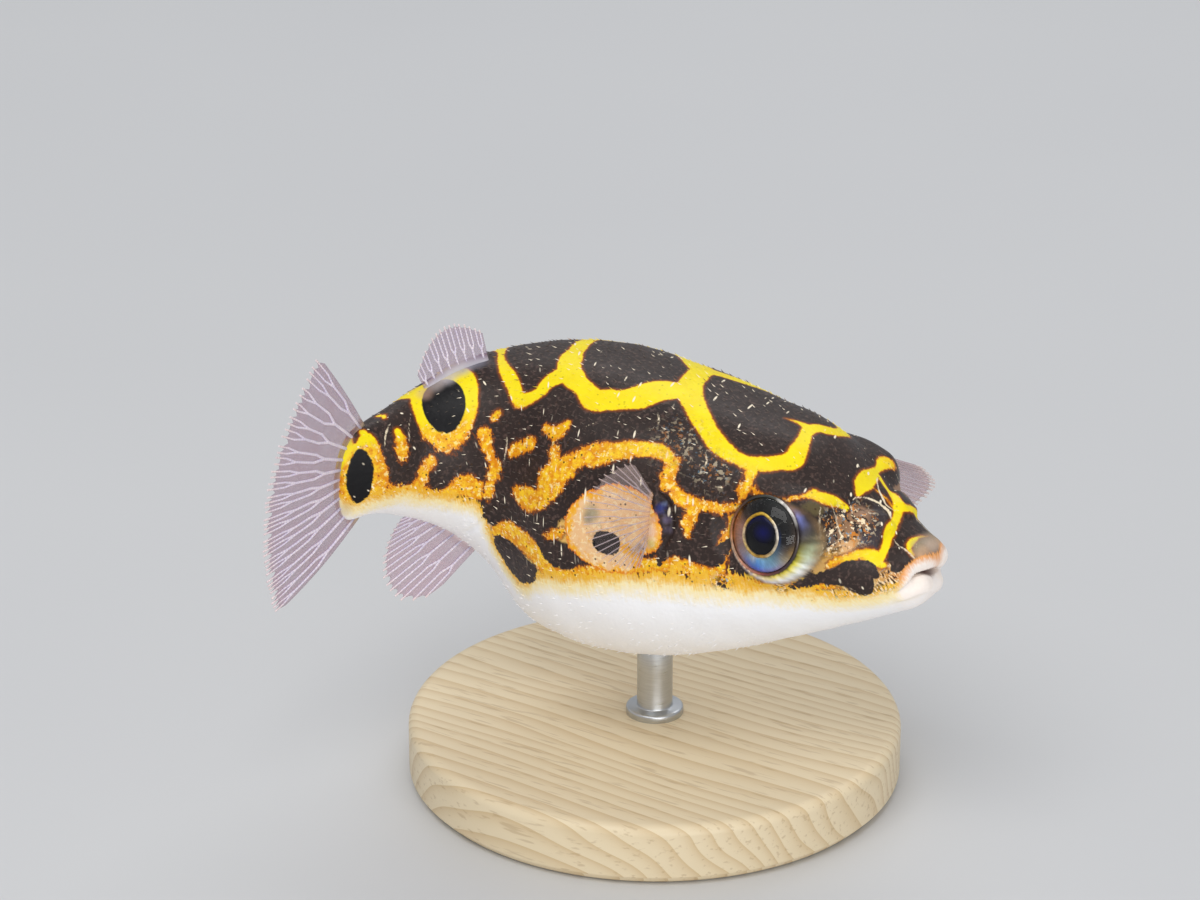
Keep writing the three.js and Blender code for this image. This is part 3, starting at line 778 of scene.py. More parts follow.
CREAM = [
    [(3.75, 8, 0.05), (4.05, 3, 0.1), (4.6, 2, 0.11), (5.4, 7, 0.1), (6.0, 15, 0.06), (6.2, 22, 0.03)],
    [(1.05, 41, 0.06), (1.6, 35, 0.08), (2.1, 32, 0.07), (2.5, 32, 0.06), (2.9, 28, 0.04)],
    [(6.9, 37, 0.04), (6.4, 41, 0.05), (6.0, 47, 0.05), (5.5, 55, 0.05)],
    [(7.0, 44, 0.03), (6.7, 52, 0.04), (6.45, 60, 0.04), (6.3, 67, 0.03)],
    [(20.6, 25.5, 0.04), (20.1, 30, 0.06), (20.4, 35, 0.05)],
    [(23.0, 32, 0.04), (22.9, 36, 0.06)],
    [(16.1, 36, 0.04), (15.7, 41, 0.08), (15.6, 45, 0.05)],
    [(14.0, 52, 0.06), (14.6, 53, 0.07)],
    [(43.3, 22, 0.04), (43.8, 32, 0.06), (44.1, 42, 0.06), (44.3, 50, 0.04)],
    [(45.1, 21, 0.03), (45.6, 28, 0.06), (46, 38, 0.06), (46.2, 48, 0.06), (46.1, 55, 0.03)],
    [(24.5, 40, 0.05), (25.2, 43, 0.06)],
    [(35.8, 56, 0.04), (35.9, 62, 0.06), (36.2, 68, 0.04)],
    [(3.0, 104, 0.03), (4.0, 97, 0.04), (4.7, 92, 0.03)],
]
# each dab of a wash is (x, angle, radius in mm, chart colour, strength); these lie under the marks
UNDER_WASH = [
    (5.2, 30, 1.2, (150, 116, 90), 0.8), (5.7, 46, 1.4, (150, 114, 84), 0.85),
    (6.2, 62, 1.1, (104, 86, 76), 0.8), (7.4, 45, 1.0, (92, 80, 52), 0.7),
    (5.1, 60, 1.0, (222, 172, 116), 0.9), (5.9, 74, 1.1, (210, 160, 78), 0.9),
    (6.5, 80, 0.8, (204, 160, 96), 0.8), (2.4, 88, 1.5, (206, 148, 74), 0.95),
    (3.0, 100, 1.6, (222, 186, 120), 0.95), (1.7, 72, 0.9, (214, 150, 92), 0.8),
    (2.8, 72, 0.9, (204, 146, 70), 0.9), (4.1, 52, 0.8, (70, 64, 72), 0.9),
    (4.2, 44, 0.7, (74, 70, 78), 0.85), (5.6, 92, 1.6, (222, 180, 82), 0.95),
    (8.0, 93, 1.5, (220, 180, 70), 0.95), (10.5, 92, 1.4, (222, 184, 60), 0.9),
    (13, 91, 1.3, (222, 184, 60), 0.9), (4.2, 98, 1.5, (224, 184, 110), 0.95),
    (24.6, 84, 1.3, (226, 180, 96), 0.9), (19.2, 88, 1.2, (214, 166, 70), 0.8),
    (25, 100, 1.4, (224, 190, 70), 0.9), (30.5, 108, 1.8, (226, 190, 100), 0.9),
    (33, 115, 2.1, (226, 190, 110), 0.9), (35.6, 118, 1.7, (228, 196, 120), 0.9),
    (37.2, 115, 0.9, (232, 196, 150), 0.9), (28, 104, 1.4, (226, 188, 90), 0.9),
    (4.15, 24, 0.9, (62, 53, 55), 0.9), (3.95, 40, 0.7, (66, 56, 58), 0.8),
    (4.5, 12, 0.8, (54, 46, 49), 0.7),
]
# and these over them
OVER_WASH = [
    (1.35, 0, 0.75, (160, 146, 124), 0.75), (1.4, 16, 0.7, (166, 148, 120), 0.75),
    (1.2, 30, 0.5, (178, 152, 122), 0.7), (1.3, -15, 0.75, (158, 142, 122), 0.75),
    (0.8, -15, 0.75, (196, 170, 148), 0.7), (0.75, 0, 0.8, (196, 172, 152), 0.75),
    (0.8, 18, 0.7, (206, 170, 138), 0.7), (0.75, 32, 0.5, (222, 178, 140), 0.6),
    (37.2, 0, 0.9, (140, 140, 152), 0.6), (38.4, 0, 1.0, (176, 174, 184), 0.75),
    (39.6, 3, 0.9, (196, 190, 192), 0.75), (40.6, 4, 0.8, (190, 176, 170), 0.6),
    (41.6, 8, 0.7, (196, 160, 140), 0.5), (48.7, 20, 0.7, (132, 122, 128), 0.5),
    (48.9, 124, 0.8, (206, 186, 150), 0.6), (22.7, 75, 0.75, (142, 140, 112), 0.8),
    (22.95, 77.5, 0.5, (110, 106, 100), 0.6), (18.8, 82.5, 0.45, (98, 100, 124), 0.65),
    (19.25, 84, 0.35, (104, 100, 118), 0.55), (18.5, 79, 0.3, (110, 112, 136), 0.6),
    # the small pale blue dab at 17.6 mm and 64.3 degrees is a painted highlight on the gill flap; the other
    # dabs here are the skin's colours
    (17.75, 66.5, 0.42, (44, 56, 124), 0.8), (17.6, 64.3, 0.16, (140, 158, 204), 0.65),
    (17.95, 68.3, 0.25, (70, 60, 96), 0.7), (17.35, 67.5, 0.2, (30, 28, 44), 0.8),
    (17.2, 70.5, 0.35, (104, 92, 122), 0.7), (17.0, 74.5, 0.35, (96, 86, 106), 0.6),
    (18.0, 71, 0.35, (196, 128, 120), 0.5), (18.1, 76, 0.55, (232, 190, 168), 0.7),
    (18.0, 80, 0.45, (206, 190, 96), 0.6),
]


def both(spots):
    """Dabs of the right side, repeated on the left where they are off the middle.

    On the back the left ones stand 14 degrees further down, so that the two sides differ.
    """
    return spots + [(x, -a - 14 * (a < 50), *rest) for x, a, *rest in spots if a > 5]


left_black = [[(x, -a - 8, w) for x, a, w in BLACK[0]]]
black = inside(plain, ring_x, BLACK + other_side(BLACK[1:], 0.1) + left_black)
brown = inside(plain, ring_x, BROWN + other_side(BROWN, 0.15, 0.95))
cream = inside(plain, ring_x, CREAM + other_side(CREAM, 0.2))
peach = inside(plain, ring_x, PEACH + other_side(PEACH, -0.2, 0.95))
under = dabs(plain, ring_x, both(UNDER_WASH))
over = dabs(plain, ring_x, both(OVER_WASH))

# painted shade in the slit between the lips: a dark red, wider and deeper in the middle of the slit
wider = np.exp(-(((side_y + 0.2) / 0.85) ** 2))
slit_shade = 1 - smoothly(np.abs(above), 0.06 + 0.16 * wider, 0.22 + 0.2 * wider)
slit_shade = slit_shade * (1 - smoothly(X, 1.2, 1.9)) * (0.55 + 0.4 * wider)
slit_shade = slit_shade * smoothly(side_y, -2.5, -1.4) * (1 - smoothly(side_y, 1.4, 2.5))
over = laid_over(over, np.array(paint(112, 24, 28)[:3]), slit_shade)

BELLY_LINE = [
    (0, 84), (1.6, 90), (2.6, 98), (4, 102), (8, 96), (12, 93), (16, 91), (20, 94), (24, 101),
    (28, 105.5), (29.5, 109), (31, 115.5), (33, 123), (35, 129), (36.5, 126), (37.6, 115), (38.8, 103),
    (40, 103), (42, 105), (46, 106), (47.5, 114), (49, 125),
]
form = through(SECTIONS, X)
mean_radius = (form[..., 0] - form[..., 1] + 2 * form[..., 3]) / 4
belly = (np.abs(A) - through(np.array(BELLY_LINE), X)[..., 0]) * np.radians(1) * mean_radius
flank = smoothly(np.abs(A), 32, 54) * smoothly(X, 3, 7)
speckled = mask(plain, ring_x, [(5.3, 36, 1.7, 0.9), (5.8, 50, 1.8, 1.0)] + both([
    (6.4, 64, 1.3, 0.8), (12.8, 91, 0.9, 0.9), (8.8, 92, 0.6, 0.8), (21.5, 81, 1.6, 0.25),
    (2.6, 88, 1.6, 0.5), (15, 45, 1.8, 0.35), (18, 36, 2.4, 0.3)]))
hatched = mask(plain, ring_x, both([
    (1.9, 66, 0.9, 0.9), (2.3, 84, 1.2, 1.0), (3.3, 98, 1.2, 1.0),
    (4.5, 99, 1.2, 0.9), (5.8, 97, 1.1, 0.7), (1.3, 18, 0.9, 0.5)]))
LIP_LINE = [
    (0, 0.3), (11, 0.4), (36, 0.82), (56, 1.3), (78, 1.5), (95, 1.75), (120, 2.0), (180, 2.2),
]
lips = through(np.array(LIP_LINE), np.abs(A))[..., 0] - X
lips = np.clip(lips * (1 - 0.85 * smoothly(np.abs(A), 88, 116)), -1.5, 1.5)
print("belly covers", round(float((belly > 0).mean()) * 100), "% of the points")

# %% [markdown]
# The socket's crescent gets its colours from a chart of its own: for each direction round the eye,
# the colour at the ball's edge, at a third, at two thirds and at the outer edge. A dark line hugs the
# ball, then olive yellow, pale green and silver follow outwards, closed by a tan line.

# %% Colours of the socket's wall
WALL_CHART = [  # direction, then colour and cover at four places outwards
    (-180, (110, 60, 30, 1), (196, 140, 98, 0.9), (30, 20, 20, 0.9), (30, 22, 22, 0.2)),
    (-150, (120, 60, 30, 1), (255, 222, 190, 1), (40, 28, 26, 1), (30, 22, 22, 0.4)),
    (-120, (150, 70, 40, 1), (255, 225, 195, 1), (120, 105, 110, 0.9), (30, 22, 22, 0.4)),
    (-95, (110, 50, 30, 1), (246, 214, 150, 1), (200, 194, 208, 1), (120, 106, 118, 0.7)),
    (-70, (60, 26, 22, 1), (252, 226, 110, 1), (240, 240, 248, 1), (176, 166, 172, 0.8)),
    (-45, (36, 14, 22, 1), (246, 226, 84, 1), (246, 250, 250, 1), (190, 174, 160, 0.9)),
    (-25, (26, 12, 18, 1), (222, 208, 62, 1), (238, 246, 236, 1), (194, 180, 158, 0.9)),
    (-8, (24, 14, 12, 1), (134, 128, 54, 1), (188, 198, 160, 1), (166, 148, 112, 0.9)),
    (8, (22, 16, 14, 1), (74, 66, 50, 1), (104, 100, 78, 1), (150, 124, 86, 0.9)),
    (22, (30, 22, 24, 1), (60, 58, 76, 1), (62, 54, 50, 1), (132, 104, 70, 0.85)),
    # painted highlight: the lavender blue second stop of the row at 38 degrees stands for light on the upper
    # front of the wall
    (38, (70, 56, 60, 1), (116, 124, 188, 1), (56, 46, 46, 1), (96, 74, 52, 0.7)),
    (55, (110, 84, 60, 1), (160, 130, 120, 0.9), (130, 92, 50, 0.7), (120, 86, 50, 0.2)),
    (75, (40, 34, 30, 1), (90, 70, 50, 0.9), (80, 66, 40, 0.6), (70, 60, 30, 0.0)),
    (110, (26, 22, 18, 1), (40, 34, 22, 0.9), (60, 52, 26, 0.6), (70, 60, 30, 0.0)),
    (150, (60, 34, 20, 1), (70, 44, 26, 0.9), (40, 30, 22, 0.8), (30, 22, 20, 0.1)),
    (180, (110, 60, 30, 1), (196, 140, 98, 0.9), (30, 20, 20, 0.9), (30, 22, 22, 0.2)),
]


def chart_colour(chart, way, part, places):
    """Reads a colour chart by direction and by place outwards, both smoothly."""
    rows = np.array([[c for stop in row[1:]
                      for c in (*paint(*stop[:3])[:3], stop[3] if len(stop) > 3 else 1.0)]
                     for row in chart])
    ways = np.array([row[0] for row in chart], float)
    found = np.stack([np.interp(way, ways, rows[:, k]) for k in range(rows.shape[1])], -1)
    found = found.reshape(*np.shape(way), -1, 4)
    at = np.clip(np.interp(part, places, np.arange(len(places))), 0, len(places) - 1)
    low = np.minimum(at.astype(int), len(places) - 2)
    share = (at - low)[..., None]
    first = np.take_along_axis(found, low[..., None, None], -2)[..., 0, :]
    second = np.take_along_axis(found, (low + 1)[..., None, None], -2)[..., 0, :]
    return first * (1 - share) + second * share


streaks = np.random.default_rng(5).normal(size=(2, 121))
streaks[:, -1] = streaks[:, 0]
inner_ray, outer_ray = (np.interp(compass, np.linspace(-180, 180, 121), row) for row in streaks)
wall = chart_colour(WALL_CHART, compass, socket + 0.05 * inner_ray, [0.06, 0.3, 0.68, 0.95])
streaked = 1 + 0.14 * outer_ray * smoothly(socket, 0.1, 0.5)
wall[..., :3] = np.clip(wall[..., :3] * streaked[..., None], 0, 1)
cover = np.where(at_eye & (socket > -0.6), wall[..., 3] * (1 - smoothly(socket, 0.96, 1.12)), 0)
cover = np.where(at_eye & (socket <= -0.6), 1.0, cover)
over = laid_over(over, wall[..., :3], cover)
print("points on the sockets' walls:", int((at_eye & (socket > 0) & (socket < 1)).sum()))

# %% [markdown]
# The net becomes a mesh. Its own UV map runs along and round the body, so that a pattern can follow
# the skin, and every distance and wash is stored on its points.

# %% Skin mesh
MAP_LENGTH, MAP_GIRTH = 50, 31         # mm of skin that the map's whole width and height stand for


def mesh_object(name, points, faces, edges=()):
    """An object at the origin whose mesh is in metres, from points in mm and faces of 3 or 4 corners."""
    mesh = bpy.data.meshes.new(name)
    mesh.from_pydata((np.asarray(points, float) * MM).tolist(), edges, faces)
    mesh.polygons.foreach_set("use_smooth", np.full(len(mesh.polygons), True))
    mesh.update()
    made = bpy.data.objects.new(name, mesh)
    scene.collection.objects.link(made)
    return made


def store(mesh, name, values):
    """Stores a number, a vector or a colour for each point of a mesh."""
    values = np.asarray(values, np.float32)
    kind, key = {1: ("FLOAT", "value"), 3: ("FLOAT_VECTOR", "vector"), 4: ("FLOAT_COLOR", "color")}[
        1 if values.ndim == 1 else values.shape[1]]
    mesh.attributes.new(name, kind, "POINT").data.foreach_set(key, values.ravel())


def point_of_corners(mesh):
    """The point that each face corner of a mesh stands on."""
    corner = np.zeros(len(mesh.loops), np.int32)
    mesh.loops.foreach_get("vertex_index", corner)
    return corner


def triangles(made):
    return sum(len(face.vertices) - 2 for face in made.data.polygons)


def on_map(x, angle):
    """Place on the skin's own map, from 0 to 1 along the body and round it."""
    return np.stack([np.clip(x / MAP_LENGTH, 0, 1), (angle + 180) / 360], -1)


def ring_faces(rings, around):
    """Quads between rings of points, and fans to two extra points that close the ends."""
    i, j = np.meshgrid(np.arange(rings - 1), np.arange(around), indexing="ij")
    k = (j + 1) % around
    quads = np.stack([i * around + j, i * around + k, (i + 1) * around + k, (i + 1) * around + j], -1)
    faces = quads.reshape(-1, 4).tolist()
    first, last = rings * around, (rings - 1) * around
    for j in range(around):
        k = (j + 1) % around
        faces.append((first, k, j))
        faces.append((first + 1, last + j, last + k))
    return faces


def volume(points, faces):
    """Signed volume; below 0 when the faces look inwards."""
    total = 0.0
    p = np.asarray(points)
    for corners in (np.array([f for f in faces if len(f) == n]) for n in (3, 4)):
        if len(corners):
            for k in range(1, corners.shape[1] - 1):
                a, b, c = p[corners[:, 0]], p[corners[:, k]], p[corners[:, k + 1]]
                total += (a * np.cross(b, c)).sum() / 6
    return total


def outward_faces(points, faces):
    return faces if volume(points, faces) > 0 else [tuple(reversed(f)) for f in faces]


def flat(values):
    """The net's values in the order of the mesh's points, with the two end points added."""
    v = values.reshape(-1, *values.shape[2:])
    return np.concatenate([v, values[:1].mean(1), values[-1:].mean(1)])


skin_points = flat(skin)
skin_faces = outward_faces(skin_points, ring_faces(len(ring_x), AROUND))
hide = mesh_object("skin", skin_points, skin_faces)
for name, values in {
        "yellow": yellow, "black": black, "cream": cream, "belly": np.clip(belly, -3, 3), "flank": flank,
        "lips": lips, "speckled": speckled, "peach": peach, "hatched": hatched, "brown": brown,
        "under_wash": under, "over_wash": over}.items():
    store(hide.data, name, flat(values))
corner = point_of_corners(hide.data)
uv = on_map(flat(X), flat(A))[corner]
# a face that crosses the belly's seam ends at 1 on the map, not at 0
starts = np.zeros(len(hide.data.polygons), np.int32)
sizes = starts.copy()
hide.data.polygons.foreach_get("loop_start", starts)
hide.data.polygons.foreach_get("loop_total", sizes)
face_of = np.repeat(np.arange(len(sizes)), sizes)
wraps = np.zeros(len(sizes), bool)
np.logical_or.at(wraps, face_of, corner % AROUND == AROUND - 1)
uv[wraps[face_of] & (corner % AROUND == 0) & (corner < len(ring_x) * AROUND), 1] = 1.0
hide.data.uv_layers.new(name="along_body").data.foreach_set("uv", uv.astype(np.float32).ravel())
print("skin:", len(hide.data.vertices), "points,", triangles(hide), "triangles, volume",
      round(abs(volume(skin_points, skin_faces)) / 1000, 1), "cm3")

# %% [markdown]
# ## The paint of the hide
# One shader group paints the hide from the stored distances: dark brown, then the washes, the yellow
# with its ragged and rusty edge, black spots, cream lines, the white belly and the lips. The skin
# and its prickles both use it, so they carry the same markings. It gives out a colour, a roughness
# and a height for the fine grain; the shader itself stays in each material.

# %% Paint group
def hide_paint():
    tree = bpy.data.node_groups.new("puffer_hide", "ShaderNodeTree")
    face = tree.interface
    for label, value in (("Ragged edge mm", 0.34), ("Glint amount", 1.0)):
        face.new_socket(label, in_out="INPUT", socket_type="NodeSocketFloat").default_value = value
    face.new_socket("Color", in_out="OUTPUT", socket_type="NodeSocketColor")
    face.new_socket("Roughness", in_out="OUTPUT", socket_type="NodeSocketFloat")
    face.new_socket("Height", in_out="OUTPUT", socket_type="NodeSocketFloat")
    given = tree.nodes.new("NodeGroupInput").outputs
    result = tree.nodes.new("NodeGroupOutput")

    here = object_place(tree)
    along = node(tree, "ShaderNodeUVMap", uv_map="along_body").outputs[0]
    flank_share = field(tree, "flank")
    coarse = calc(tree, "SUBTRACT", noise(tree, here, 950, 3, 0.6), 0.5)
    fine = calc(tree, "SUBTRACT", noise(tree, here, 4200, 2, 0.6), 0.5)
    in_mm = stretched(tree, along, (MAP_LENGTH, MAP_GIRTH, 1))
    lean = node(tree, "ShaderNodeVectorRotate", {"Vector": in_mm, "Angle": math.radians(-25)},
                rotation_type="Z_AXIS")
    short_hairs = stretched(tree, lean.outputs[0], (7.5, 1.7, 1))
    hair = calc(tree, "SUBTRACT", noise(tree, short_hairs, 1.0, 2, 0.5), 0.5)
    ragged = calc(tree, "MULTIPLY_ADD", fine, 0.6, coarse)
    ragged = calc(tree, "MULTIPLY_ADD", calc(tree, "MULTIPLY", hair, flank_share), 0.45, ragged)
    more = calc(tree, "MULTIPLY_ADD", flank_share, 1.9, 0.8)
    ragged = calc(tree, "MULTIPLY", calc(tree, "MULTIPLY", ragged, given["Ragged edge mm"]), more)

    dark = blend(tree, noise(tree, here, 420, 3), paint(33, 24, 22), paint(58, 45, 41))
    dark = blend(tree, step(tree, noise(tree, here, 3600, 2), 0.5, 0.75), dark, paint(84, 66, 60))
    wash = field(tree, "under_wash", "Alpha")
    patchy = calc(tree, "MULTIPLY_ADD", coarse, 1.1, wash)
    colour = blend(tree, step(tree, patchy, 0.3, 0.62), dark, field(tree, "under_wash", "Color"))

    gold = calc(tree, "ADD", field(tree, "yellow"), ragged)
    rust = calc(tree, "MULTIPLY", step(tree, gold, -0.24, -0.02), 0.7)
    colour = blend(tree, rust, colour, paint(132, 66, 18))
    vivid = blend(tree, noise(tree, here, 700, 3), paint(240, 208, 8), paint(255, 240, 16))
    grains = step(tree, noise(tree, here, 1800, 4, 0.72), 0.34, 0.66)
    ochre = blend(tree, grains, paint(224, 136, 4), paint(255, 208, 40))
    bright = blend(tree, flank_share, vivid, ochre)
    rim = step(tree, gold, calc(tree, "MULTIPLY_ADD", flank_share, 0.18, 0.12), 0.0)
    bright = blend(tree, rim, bright, paint(222, 132, 12))
    # painted highlights: cream grains on the yellow of the flanks stand for light caught on the spines
    cream_glints = step(tree, noise(tree, here, 3300, 3, 0.6), 0.56, 0.63, 0, 0.75)
    cream_glints = calc(tree, "MULTIPLY", cream_glints, flank_share)
    bright = blend(tree, cream_glints, bright, paint(255, 236, 160))
    colour = blend(tree, step(tree, gold, -0.04, 0.05), colour, bright)

    edge = calc(tree, "MULTIPLY_ADD", ragged, 1.3, field(tree, "belly"))
    edging = step(tree, calc(tree, "MULTIPLY_ADD", hair, 1.2, edge), -0.62, -0.5)
    colour = blend(tree, edging, colour,
                   blend(tree, noise(tree, here, 1100, 3), paint(226, 156, 20), paint(252, 206, 70)))

    patch = calc(tree, "MULTIPLY_ADD", ragged, 0.8, field(tree, "peach"))
    soft = blend(tree, noise(tree, here, 1300, 3), paint(228, 170, 112), paint(250, 214, 164))
    soft = blend(tree, step(tree, calc(tree, "MULTIPLY_ADD", coarse, 2.0, patch), 0.75, 0.25), soft,
                 paint(244, 176, 44))
    soft = blend(tree, step(tree, noise(tree, here, 3400, 2), 0.55, 0.62, 0, 0.55), soft,
                 paint(255, 234, 186))
    soft = blend(tree, step(tree, patch, 0.22, 0.0), soft, paint(228, 124, 30))
    colour = blend(tree, step(tree, patch, -0.05, 0.06), colour, soft)

    peppered = cells(tree, here, 2300)
    pepper = calc(tree, "MULTIPLY", step(tree, peppered.outputs["Distance"], 0.24, 0.12),
                  step(tree, noise(tree, here, 900, 2), 0.47, 0.55))
    pepper = calc(tree, "MULTIPLY", pepper, calc(tree, "MULTIPLY_ADD", flank_share, 0.6, 0.3))
    colour = blend(tree, pepper, colour, paint(58, 36, 16))

    for scale, low, chart in ((2500, 0.53, (36, 26, 26)), (2900, 0.565, (255, 234, 196)),
                              (3900, 0.63, (112, 158, 184)), (3000, 0.6, (214, 134, 50))):
        flecks = noise(tree, here, scale, 3, 0.55)
        flecks = calc(tree, "MULTIPLY", step(tree, flecks, low, low + 0.03), field(tree, "speckled"))
        colour = blend(tree, flecks, colour, paint(*chart))

    furred = calc(tree, "MULTIPLY", hair, field(tree, "hatched"))
    colour = blend(tree, step(tree, furred, 0.05, 0.11), colour, paint(46, 30, 26))
    colour = blend(tree, step(tree, furred, -0.04, -0.12), colour, paint(248, 222, 180))

    white = calc(tree, "MULTIPLY_ADD", ragged, 1.2, field(tree, "belly"))
    brush = calc(tree, "MULTIPLY", hair, calc(tree, "MULTIPLY_ADD", field(tree, "hatched"), 0.9, 0.5))
    white = calc(tree, "ADD", brush, white)
    tinted = blend(tree, step(tree, white, 0.2, 1.9), paint(252, 232, 172), paint(250, 250, 252))
    colour = blend(tree, step(tree, white, -0.35, 0.55), colour, tinted)
    blotch = calc(tree, "MULTIPLY_ADD", ragged, 0.8, field(tree, "brown"))
    colour = blend(tree, step(tree, blotch, -0.05, 0.05), colour, dark)
    spot = calc(tree, "MULTIPLY_ADD", ragged, 0.4, field(tree, "black"))
    colour = blend(tree, step(tree, spot, -0.06, 0.05), colour, paint(9, 8, 12))

    # painted highlights: short pale dashes that lean like the spines stand for light caught on them; more on
    # the flanks, none on the white belly
    dash = cells(tree, stretched(tree, lean.outputs[0], (2.6, 1.1, 1)), 1.0)
    chance = node(tree, "ShaderNodeSeparateColor", {0: dash.outputs["Color"]}).outputs[0]
    spine_glint = calc(tree, "MULTIPLY", step(tree, dash.outputs["Distance"], 0.24, 0.12),
                 step(tree, chance, calc(tree, "MULTIPLY_ADD", flank_share, -0.3, 0.8), 0.86))
    spine_glint = calc(tree, "MULTIPLY", calc(tree, "MULTIPLY", spine_glint, given["Glint amount"]),
                 step(tree, field(tree, "belly"), 0.2, -0.4))
    colour = blend(tree, calc(tree, "MULTIPLY", spine_glint, 0.95), colour, paint(255, 242, 216))
    line = calc(tree, "MULTIPLY_ADD", coarse, 0.14,
                calc(tree, "MULTIPLY_ADD", fine, 0.12, field(tree, "cream")))
    colour = blend(tree, step(tree, line, -0.04, 0.04), colour, paint(246, 228, 196))

    colour = blend(tree, field(tree, "over_wash", "Alpha"), colour, field(tree, "over_wash", "Color"))
    lip = calc(tree, "MULTIPLY_ADD", coarse, 0.25,
               calc(tree, "MULTIPLY_ADD", hair, 0.55, field(tree, "lips")))
    fleshy = blend(tree, noise(tree, here, 600, 3), paint(255, 238, 224), paint(255, 249, 244))
    fringe = calc(tree, "MULTIPLY", step(tree, lip, -0.26, -0.06),
                  step(tree, field(tree, "belly"), 0.2, -0.8))
    colour = blend(tree, calc(tree, "MULTIPLY", fringe, 0.85), colour, paint(244, 164, 84))
    colour = blend(tree, step(tree, lip, -0.16, 0.5), colour, fleshy)
    # the over wash is laid again over the lips, which keeps the painted shade in the slit
    gape = calc(tree, "MULTIPLY", field(tree, "over_wash", "Alpha"),
                step(tree, field(tree, "lips"), 0.0, 0.2))
    colour = blend(tree, gape, colour, field(tree, "over_wash", "Color"))
    cloudy = calc(tree, "MULTIPLY_ADD", calc(tree, "ADD", fine, hair), 0.5, 0.5)
    colour = blend(tree, 0.16, colour, blend(tree, cloudy, paint(0, 0, 0), paint(255, 255, 255)), "OVERLAY")
    wire(tree, colour, result.inputs["Color"])

    pimples = cells(tree, here, 3000, "SMOOTH_F1")
    grainy = calc(tree, "MULTIPLY_ADD", pimples.outputs["Distance"], -0.7, noise(tree, here, 2400, 4, 0.65))
    rough = calc(tree, "MULTIPLY_ADD", noise(tree, here, 2600, 3), 0.22, 0.34)
    wire(tree, rough, result.inputs["Roughness"])
    wire(tree, grainy, result.inputs["Height"])
    return tree


HIDE = hide_paint()


def hide_material(name, **principled):
    made, tree, shader = new_material(name, **principled)
    painted = node(tree, "ShaderNodeGroup", node_tree=HIDE)
    wire(tree, painted.outputs["Color"], shader.inputs["Base Color"])
    wire(tree, painted.outputs["Roughness"], shader.inputs["Roughness"])
    return made, tree, shader, painted


skin_finish, tree, shader, painted = hide_material(
    "patterned_skin", Coat_Weight=0.05, Coat_Roughness=0.25, Specular_IOR_Level=0.22)
bump(tree, shader, painted.outputs["Height"], 0.55, 0.05)
hide.data.materials.append(skin_finish)
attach(hide, "root")
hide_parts("head", "trunk", "belly", "tail", "upper_lip", "lower_lip")
print("hide group has", len(HIDE.nodes), "nodes")

# %% [markdown]
# ## Eyes
# An eye is three things in a row: a clear dome outside, a painted iris behind it, and the dark lens
# that bulges a little through the pupil. Modelling them apart, instead of painting a ball, gives the
# depth that shows when the head is seen from the side. The pupil is egg-shaped with a faint point at
# its top, and a thin metallic ring runs round it. All parts are rings of points in the eye's plane.

# %% Eye parts
PUPIL_RADIUS = 1.3
IRIS_RADIUS = 2.56
IRIS_RISE = 0.42
CORNEA_RISE = 0.92
EYE_POINTS = 120
TUBE_SIDES = 10
IRIS_RINGS = 22
IRIS_BACK = -0.9


def pupil_edge(way):
    """How far the pupil reaches in each direction, in mm."""
    point = np.exp(-((way - 97) / 16) ** 2)
    notch = np.exp(-((way + 75) / 9) ** 2) + np.exp(-((way - 285) / 9) ** 2)
    oval = 0.03 * np.cos(np.radians(2 * (way - 110)))
    return PUPIL_RADIUS * (1 + oval + 0.075 * point - 0.03 * notch)


def eye_rings(place, profile, shape=None):
    """Rings of points from (distance, height) rows.

    Where shape is given, it turns a distance and a direction into the distance used.
    """
    centre, forward, up, out = place
    way = np.arange(EYE_POINTS) * 360 / EYE_POINTS
    c, s = np.cos(np.radians(way)), np.sin(np.radians(way))
    rings = []
    for r, h in profile:
        far = np.full(EYE_POINTS, r) if shape is None else shape(r, way)
        rings.append(centre + forward * (far * c)[:, None] + up * (far * s)[:, None] + out * h)
    return np.array(rings)


def closed_by_points(rings):
    """Points and outward faces of rings whose ends close on a middle point."""
    points = np.concatenate([rings.reshape(-1, 3), [rings[0].mean(0)], [rings[-1].mean(0)]])
    return points, outward_faces(points, ring_faces(len(rings), rings.shape[1]))


def closed_round(rings):
    """Points and outward faces of rings that close on themselves, as in a torus."""
    n, around = rings.shape[:2]
    i, j = np.meshgrid(np.arange(n), np.arange(around), indexing="ij")
    k, m = (j + 1) % around, (i + 1) % n
    quads = np.stack([i * around + j, i * around + k, m * around + k, m * around + j], -1)
    faces = quads.reshape(-1, 4).tolist()
    points = rings.reshape(-1, 3)
    return points, outward_faces(points, faces)


def dome(radius, rise, base, rings, back):
    """Profile of a dome with a flat back: heights over the eye's plane."""
    share = np.linspace(0.03, 1, rings)
    front = [(radius * t, base + (rise - base) * (1 - t**2) ** 0.62) for t in share]
    return front + [(radius * 0.97, back), (radius * 0.5, back), (radius * 0.05, back)]


